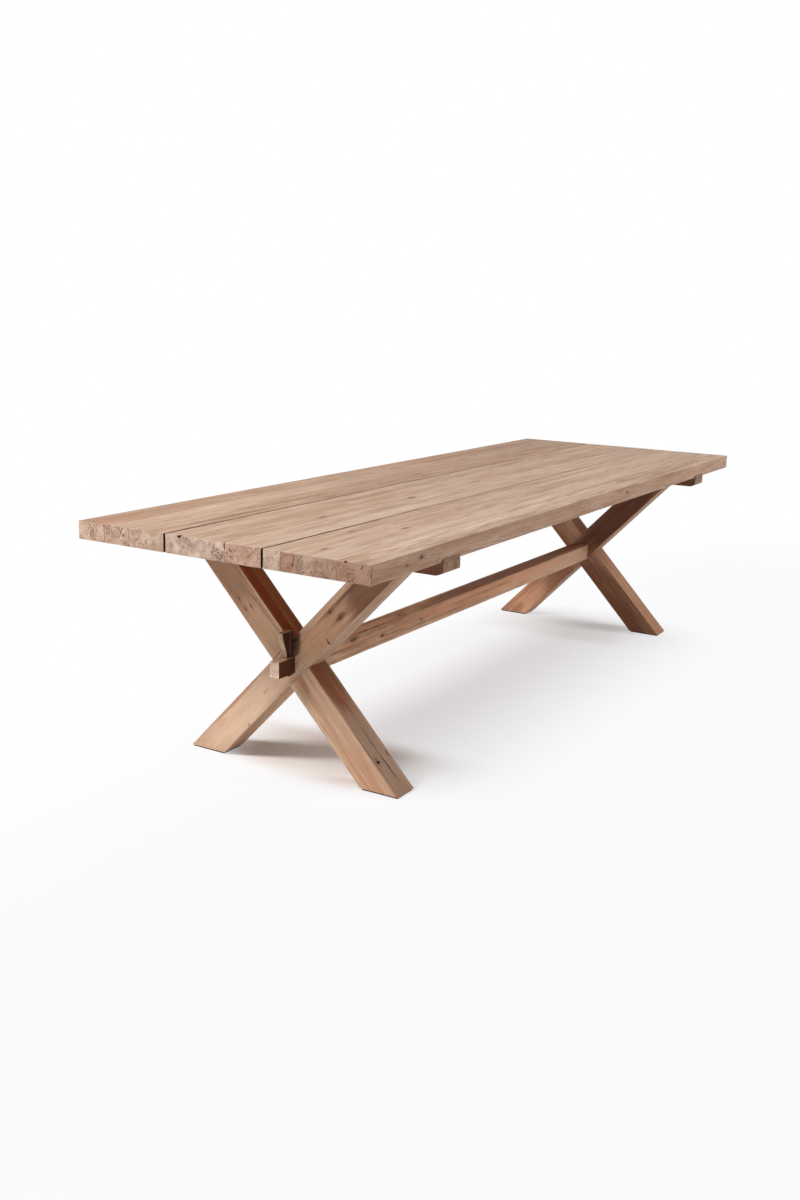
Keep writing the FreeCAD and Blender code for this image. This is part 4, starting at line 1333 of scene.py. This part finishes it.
class SAWBUCK_OT_stretcher(bpy.types.Operator):
    """Long rail with a through tenon and a tusk mortise at each end"""

    bl_idname = "sawbuck.stretcher"
    bl_label = "Stretcher"

    def execute(self, context):
        wear = context.scene.sawbuck_wear
        shoulder = TRESTLES["left"].inner
        rail = RAIL_HIGH - RAIL_LOW
        rail.x = 2 * shoulder
        lay = Lay((RAIL_LOW + RAIL_HIGH) / 2)
        look = Wood(31, (0.03, 0.05), rings=0.3, level=(1.40, 1.26, 1.12), red=0.12, mottle=2.0,
                    streaks=1.7, knots=RAIL_KNOTS, stains=RAIL_STAINS_AND_SHADE)
        mesh = worn_board(timber("stretcher_rail", lay, look), rail, lay, RAIL_CELL, look.seed,
                          (wear.edge, wear.edge), ends=RAIL_END_EDGE)
        # The tenons' sides across Y are painted dark brown: painted shade on them where they come
        # through the trestles.
        look.sides = [((0, side, 0), 1.0, (80, 36, 9)) for side in (-1, 1)]
        look.level, look.stains, look.end_level = (1.0, 1.0, 1.0), (), (1.45, 1.5, 1.5)
        shaded = timber("stretcher_tenons", lay, look)
        for side, sign in SIDES.items():
            near, far = sorted((sign * (shoulder - TENON_ROOT), sign * TENON_HIGH.x))
            middle = Vector(((near + far) / 2, 0, (TENON_LOW.z + TENON_HIGH.z) / 2))
            size = Vector((far - near, TENON_HIGH.y - TENON_LOW.y, TENON_HIGH.z - TENON_LOW.z))
            tenon = worn_board(shaded, size, Lay(middle), TENON_CELL, 32 + sign,
                               (TENON_EDGE, TENON_EDGE), ends=wear.small_edge,
                               zone=TENON_ZONE)
            mesh = carved(mesh, tenon, operation="UNION")
            mesh = carved(mesh, self.tusk_room(side, TENON_LOW.z, TENON_HIGH.z))
        show("stretcher_wood", split_open(mesh, rail_damage()), "stretcher")
        return {"FINISHED"}

    def tusk_room(self, side, bottom, top):
        sign, face, half = SIDES[side], TRESTLES[side].outer, TUSKS[side][1].y + FIT
        back = sign * (face - TUSK_DRAW)
        flare = [(sign * (face + tusk_depth(side, level)), top + level)
                 for level in (bottom - top - OVERRUN, OVERRUN)]
        return prism([(back, bottom - OVERRUN), *flare, (back, top + OVERRUN)], -half, half)


class SAWBUCK_OT_tusks(bpy.types.Operator):
    """Two loose keys, wedged through the tenons"""

    bl_idname = "sawbuck.tusks"
    bl_label = "Tusks"

    def execute(self, context):
        for number, side in enumerate(SIDES):
            self.tusk(side, SIDES[side], 41 + number)
        return {"FINISHED"}

    def tusk(self, side, sign, seed):
        name, face = f"{side}_tusk", TRESTLES[side].outer
        low, high = TUSKS[side]
        lay = Lay((low + high) / 2, UP, ACROSS)
        # Both sides of the tusk across Y are painted near black: painted shade where it stands
        # between the arms, over some dark wood; the thin paler line on its -Y side is a painted
        # highlight near the edge by the trestle.
        wood = timber(name, lay, Wood(
            seed, (0.02, 0.03), pale=0.05, rings=0.3, level=(1.0, 0.92, 0.82),
            sides=[((0, way, 0), 0.97, (56, 27, 9)) for way in (-1, 1)],
            stains=stains(None, (sign * (face + 12 * MM), low.y, lay.middle.z,
                                 0.12, 0.0022, 0.6, 150, 112, 90))))
        span = Vector((high.z - low.z, high.x - low.x, high.y - low.y))

        def swelling(point):
            levels = [point.z - TENON_HIGH.z + step * 4 * MM for step in range(-3, 4)]
            depth = sum(tusk_depth(side, each) for each in levels) / len(levels)
            share = (point.x * sign - face) / span.y
            return Vector((sign * (face + share * depth), point.y, point.z))

        mesh = worn_board(wood, span, lay, TUSK_CELL, seed)
        show(name + "_wood", reshaped(mesh, swelling), name)


class SAWBUCK_OT_foot_pads(bpy.types.Operator):
    """Four dark pads under the feet, drilled for their nails"""

    bl_idname = "sawbuck.foot_pads"
    bl_label = "Foot pads"

    def execute(self, context):
        for number, name in enumerate(PADS):
            low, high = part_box(name)
            lay = Lay((low + high) / 2, ACROSS)
            mesh = worn_board(rubber("rubber_" + name), crosswise(low, high), lay, PAD_CELL,
                              51 + number, (PAD_EDGE, PAD_EDGE), ends=PAD_EDGE, zone=PAD_ZONE)
            for place in nail_places(name):
                hole = rod(place - UP * OVERRUN, place + UP * NAIL_HEAD_HEIGHT, NAIL_HEAD + FIT)
                mesh = carved(mesh, hole, rod(place, place + UP * OVERRUN, NAIL_SHANK + FIT))
            show(name + "_plate", mesh, name)
        return {"FINISHED"}


def nail_places(pad):
    """The two points where a pad's nail heads show their faces."""
    low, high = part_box(pad)
    middle = (low + high) / 2
    return [Vector((middle.x, middle.y + sign * NAIL_SPREAD / 2, low.z + NAIL_SINK))
            for sign in (-1, 1)]


class SAWBUCK_OT_fasteners(bpy.types.Operator):
    """Batten screws, leg pegs and pad nails"""

    bl_idname = "sawbuck.fasteners"
    bl_label = "Fasteners"

    def execute(self, context):
        tree, steel = bpy.data.node_groups["Fasteners"], metal("worn_steel")
        for number, side in enumerate(SIDES):
            low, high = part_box(f"{side}_batten_screws")
            screws = grown(
                tree, count=3, start=Vector(((low.x + high.x) / 2, low.y + SCREW_HEAD, low.z)),
                step=ACROSS * ((high.y - low.y) / 2 - SCREW_HEAD), turn=Vector(),
                head_radius=SCREW_HEAD, neck_radius=SCREW_SHANK, head_height=SCREW_HEAD_HEIGHT,
                tip_radius=SCREW_TIP, length=high.z - low.z - SCREW_HEAD_HEIGHT,
                slot_width=SLOT_WIDTH, slot_depth=SLOT_DEPTH, seed=number, material=steel)
            show(f"{side}_screws", screws, f"{side}_batten_screws")

            low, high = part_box(f"{side}_leg_pegs")
            look = Wood(61 + number, (0.01, 0.01), level=(0.8, 0.8, 0.8))
            pegs = grown(
                tree, count=2, start=Vector((low.x, low.y + PEG_RADIUS, (low.z + high.z) / 2)),
                step=ACROSS * (high.y - low.y - 2 * PEG_RADIUS), turn=Vector((0, math.pi / 2, 0)),
                sides=PEG_SIDES, head_radius=PEG_RADIUS, neck_radius=PEG_RADIUS,
                head_height=PEG_FACE_HEIGHT, tip_radius=PEG_RADIUS - FIT,
                length=high.x - low.x - PEG_FACE_HEIGHT, crown=PEG_CROWN, seed=number,
                material=timber(f"{side}_pegs", Lay((low + high) / 2), look))
            show(f"{side}_pegs", pegs, f"{side}_leg_pegs")

        nails, top = [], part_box("foot_pad_nails")[1].z
        for number, pad in enumerate(PADS):
            first, second = nail_places(pad)
            nails.append(grown(
                tree, count=2, start=first, step=second - first, turn=Vector(),
                head_radius=NAIL_HEAD, neck_radius=NAIL_HEAD, head_height=NAIL_HEAD_HEIGHT,
                tip_radius=NAIL_TIP, length=top - first.z - NAIL_HEAD_HEIGHT,
                crown=NAIL_CROWN, seed=number, material=steel))
        show("pad_nails", together(nails), "foot_pad_nails")
        return {"FINISHED"}


class SAWBUCK_OT_stage(bpy.types.Operator):
    """Floor, background, lamps and camera"""

    bl_idname = "sawbuck.stage"
    bl_label = "Stage"

    def execute(self, context):
        look = context.scene.sawbuck_stage
        context.scene.view_settings.view_transform = "Standard"
        camera()
        world(look.sky)
        lamp("key", *KEY_LAMP, look.key)
        lamp("fill", *FILL_LAMP, look.fill)
        floor = placed("floor", block((-FLOOR_HALF, -FLOOR_HALF, -FLOOR_THICKNESS),
                                      (FLOOR_HALF, FLOOR_HALF, 0)))
        floor.data.materials.append(floor_material(look.floor))
        return {"FINISHED"}


class SAWBUCK_PT_table(bpy.types.Panel):
    """Lists the table's pieces and settings"""

    bl_idname = "SAWBUCK_PT_table"
    bl_label = "Sawbuck Table"
    bl_space_type = "VIEW_3D"
    bl_region_type = "UI"
    bl_category = "Sawbuck Table"

    def draw(self, context):
        for group in (context.scene.sawbuck_wear, context.scene.sawbuck_tones,
                      context.scene.sawbuck_stage):
            for name in group.__annotations__:
                self.layout.prop(group, name)
        for operator in OPERATORS:
            self.layout.operator(operator.bl_idname)


SETTINGS = {"sawbuck_wear": SawbuckWear, "sawbuck_tones": SawbuckTones,
            "sawbuck_stage": SawbuckStage}
OPERATORS = (SAWBUCK_OT_planks, SAWBUCK_OT_battens, SAWBUCK_OT_trestles, SAWBUCK_OT_stretcher,
             SAWBUCK_OT_tusks, SAWBUCK_OT_foot_pads, SAWBUCK_OT_fasteners, SAWBUCK_OT_stage)
CLASSES = (*SETTINGS.values(), *OPERATORS, SAWBUCK_PT_table)


def register():
    for item in CLASSES:
        bpy.utils.register_class(item)
    for name, group in SETTINGS.items():
        setattr(bpy.types.Scene, name, PointerProperty(type=group))


def unregister():
    for name in SETTINGS:
        delattr(bpy.types.Scene, name)
    for item in reversed(CLASSES):
        bpy.utils.unregister_class(item)


def main():
    register()
    board_tree()
    fastener_tree()
    for operator in OPERATORS:
        family, name = operator.bl_idname.split(".")
        getattr(getattr(bpy.ops, family), name)()


if __name__ == "__main__":
    main()
